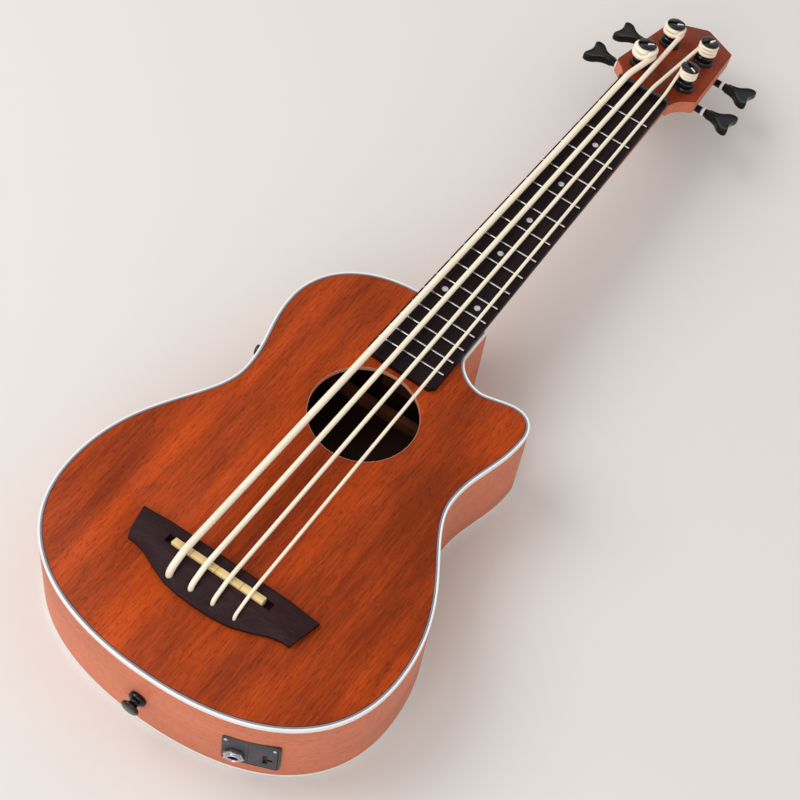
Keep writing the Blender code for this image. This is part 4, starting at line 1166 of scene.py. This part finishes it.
class UKULELE_OT_output(Operator):
    """Finish the output housing and its tray, and make the jack and the screws"""

    bl_idname = "ukulele.output"
    bl_label = "Finish the output housing"

    def execute(self, context):
        refine("output_housing", 0.0003)
        refine("battery_tray", 0.0003)
        refine("battery", 0.0004)
        self.add_jack()
        self.add_latch()
        screw = self.make_screw()
        for name, body, u, z in (
            ("plate_screw_low", "instrument", 0.0026, 0.0170),
            ("plate_screw_high", "instrument", 0.0026, 0.0446),
            ("door_screw", "battery_tray", 0.0332, 0.0430),
        ):
            twin = copied(screw, name, OUTPUT @ Matrix.Translation((u, 0, z)) @ TO_Y)
            dress(smoothed(twin, 40), "grey_plastic", body, look="chrome")
        bpy.data.objects.remove(screw)
        return {"FINISHED"}

    def add_jack(self):
        place = OUTPUT @ Matrix.Translation((JACK_U, 0, JACK_Z)) @ TO_Y
        profile = (
            (0.0060, -0.0330), (0.0060, -0.0093), (0.0045, -0.0093), (0.0045, 0.0036),
            (0.0042, 0.0040), (0.0037, 0.0041), (0.0034, 0.0038), (0.0032, 0.0034),
            (0.0032, -0.0240),
        )
        barrel = lathed("jack_barrel", profile, 64, place)
        dress(smoothed(barrel, 40), "chrome", "instrument", "jack_socket")
        hexagon = [heading(60 * k + 12) * 0.0070 for k in range(6)]
        nut = raised("jack_nut", hexagon, GAP, 0.0030)
        bore = lathed("nut_bore", ((0.0047, -0.01), (0.0047, 0.01)), 48)
        cone = ringed(
            "nut_cone", ((0.0064, 0.0031), (0.0090, 0.0031), (0.0090, 0.0012)), 48
        )
        cut(nut, bore, cone)
        rounded(nut, 0.0002, 2, 40)
        settled(nut, place)
        dress(smoothed(nut, 30), "chrome", "instrument")
        # Painted shade: a near black sleeve inside the jack's bore, where the bore lies in shade
        lining = ((0.00315, -0.0235), (0.00315, 0.0030), (0.0029, 0.0030), (0.0029, -0.0230))
        lining = lathed("jack_bore_painted_shade", lining, 48, place)
        dress(smoothed(lining, 40), "chrome", "instrument", look="painted_shade_black")

    def add_latch(self):
        """Painted shade: a near black sheet lining the door's latch recess, in the plan of a T on
        its side.
        """
        u0, u1, u2 = LATCH_U
        z0, z1, z2, z3 = LATCH_Z
        outline = (
            (u0, -z0), (u0, -z3), (u1, -z3), (u1, -z2), (u2, -z2), (u2, -z1), (u1, -z1),
            (u1, -z0),
        )
        latch = raised("latch_recess_painted_shade", outline, -0.00135, -0.00012)
        select_facing(latch, Vector((0, 0, 1)))
        bpy.ops.mesh.inset(thickness=0.0002)
        bpy.ops.mesh.extrude_region_move(TRANSFORM_OT_translate={"value": (0, 0, -0.0011)})
        leave()
        closed(latch)
        settled(latch, OUTPUT @ TO_Y)
        dress(smoothed(latch), "grey_plastic", "battery_tray", look="painted_shade_black")

    def make_screw(self):
        """Domed screw head with a cross recess."""
        profile = ((0.0013, 0.0), (0.0013, 0.0002), (0.0011, 0.0005), (0.0007, 0.0007))
        screw = lathed("small_screw", profile, 32)
        arms = []
        for name, x, y in (("arm_a", 0.0008, 0.00014), ("arm_b", 0.00014, 0.0008)):
            arms.append(block(name, (-x, -y, 0.0004), (x, y, 0.01)))
        return cut(screw, *arms)


class UKULELE_OT_fittings(Operator):
    """Finish the preamp panel, and make its knobs and the strap button"""

    bl_idname = "ukulele.fittings"
    bl_label = "Make knobs and strap button"

    def execute(self, context):
        refine("preamp_panel", 0.0003)
        base = 0.0019
        profile = (
            (0.0028, -0.0060), (0.0028, base), (0.0043, base), (0.0045, base + 0.0003),
            (0.0043, base + 0.0062), (0.0039, base + 0.0069), (0.0033, base + 0.0072),
            (0.0030, base + 0.0070),
        )
        knob = lathed("knob", profile, 64)
        for node, height in (("volume_knob", 0.0400), ("tone_knob", 0.0240)):
            place = PREAMP @ Matrix.Translation((0, 0, height)) @ TO_Y
            twin = copied(knob, node + "_finish", place)
            dress(smoothed(twin, 40), "knob_black", node, node)
        bpy.data.objects.remove(knob)
        self.add_strap_button()
        return {"FINISHED"}

    def add_strap_button(self):
        profile = (
            (0.0058, 0.0), (0.0061, 0.0004), (0.0061, 0.0027), (0.0056, 0.0033),
            (0.0040, 0.0038), (0.0033, 0.0046), (0.0033, 0.0058), (0.0040, 0.0067),
            (0.0058, 0.0074), (0.0064, 0.0080), (0.0065, 0.0088), (0.0060, 0.0095),
            (0.0052, 0.0099),
        )
        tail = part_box("strap_button")[1].y
        place = Matrix.Translation((0, tail, STRAP_Z)) @ Matrix.Rotation(math.pi / 2, 4, "X")
        button = lathed("strap_button_finish", profile, 64, place)
        dress(smoothed(button, 45), "black_metal", "instrument", "strap_button")


class UKULELE_OT_stage(Operator):
    """Add the floor, the lights and the camera"""

    bl_idname = "ukulele.stage"
    bl_label = "Add the stage"

    def execute(self, context):
        self.add_floor(tuple(context.scene.ukulele_tones.floor))
        for light in LIGHTS:
            self.add_light(*light)
        self.add_world()
        self.add_camera()
        context.scene.view_settings.view_transform = "Standard"
        return {"FINISHED"}

    def add_floor(self, colour):
        deselect()
        bpy.ops.mesh.primitive_plane_add(size=60, location=(0, 0, -0.0002))
        floor = bpy.context.active_object
        floor.name = "floor"
        finish = Finish("pale floor", 0.7, Specular_IOR_Level=0.2)
        soft = finish.noise((3, 3, 3), 2.0)
        finish.feed("Base Color", finish.blend(soft, scaled(colour, 0.97), colour))
        floor.data.materials.append(finish.material)

    def add_light(self, name, place, size, power):
        deselect()
        bpy.ops.object.light_add(type="AREA", location=place)
        light = bpy.context.active_object
        light.name = name
        light.data.shape = "DISK"
        light.data.size = size
        light.data.energy = power
        aim = LIGHTS_AIM - Vector(place)
        light.rotation_euler = aim.to_track_quat("-Z", "Y").to_euler()

    def add_world(self):
        world = bpy.data.worlds.new("studio")
        world.use_nodes = True
        background = world.node_tree.nodes["Background"]
        background.inputs["Color"].default_value = (1.0, 0.99, 0.98, 1.0)
        background.inputs["Strength"].default_value = WORLD_LEVEL
        bpy.context.scene.world = world

    def add_camera(self):
        data = bpy.data.cameras.new("camera")
        data.sensor_width = 36
        data.lens = CAMERA_LENS
        data.clip_start = 0.01
        camera = bpy.data.objects.new("camera", data)
        camera.location = CAMERA_PLACE
        camera.rotation_euler = [math.radians(angle) for angle in CAMERA_TURN]
        bpy.context.scene.collection.objects.link(camera)
        bpy.context.scene.camera = camera


OPERATORS = (
    UKULELE_OT_stage,
    UKULELE_OT_finishes,
    UKULELE_OT_plates,
    UKULELE_OT_sides,
    UKULELE_OT_neck,
    UKULELE_OT_bridge,
    UKULELE_OT_strings,
    UKULELE_OT_tuners,
    UKULELE_OT_output,
    UKULELE_OT_fittings,
)


class UKULELE_PT_panel(Panel):
    bl_label = "Bass ukulele"
    bl_idname = "UKULELE_PT_panel"
    bl_space_type = "VIEW_3D"
    bl_region_type = "UI"
    bl_category = "Ukulele"

    def draw(self, context):
        for group in (context.scene.ukulele_tones, context.scene.ukulele_sizes):
            for name in group.bl_rna.properties.keys():
                if name not in ("rna_type", "name"):
                    self.layout.prop(group, name)
        for operator in OPERATORS:
            self.layout.operator(operator.bl_idname)


CLASSES = (UkuleleTones, UkuleleSizes, *OPERATORS, UKULELE_PT_panel)


def register():
    for item in CLASSES:
        bpy.utils.register_class(item)
    bpy.types.Scene.ukulele_tones = PointerProperty(type=UkuleleTones)
    bpy.types.Scene.ukulele_sizes = PointerProperty(type=UkuleleSizes)


def unregister():
    del bpy.types.Scene.ukulele_sizes
    del bpy.types.Scene.ukulele_tones
    for item in reversed(CLASSES):
        bpy.utils.unregister_class(item)


def main():
    register()
    bpy.ops.ukulele.stage()
    bpy.ops.ukulele.finishes()
    bpy.ops.ukulele.plates()
    bpy.ops.ukulele.sides()
    bpy.ops.ukulele.neck()
    bpy.ops.ukulele.bridge()
    bpy.ops.ukulele.strings()
    bpy.ops.ukulele.tuners()
    bpy.ops.ukulele.output()
    bpy.ops.ukulele.fittings()


if __name__ == "__main__":
    main()
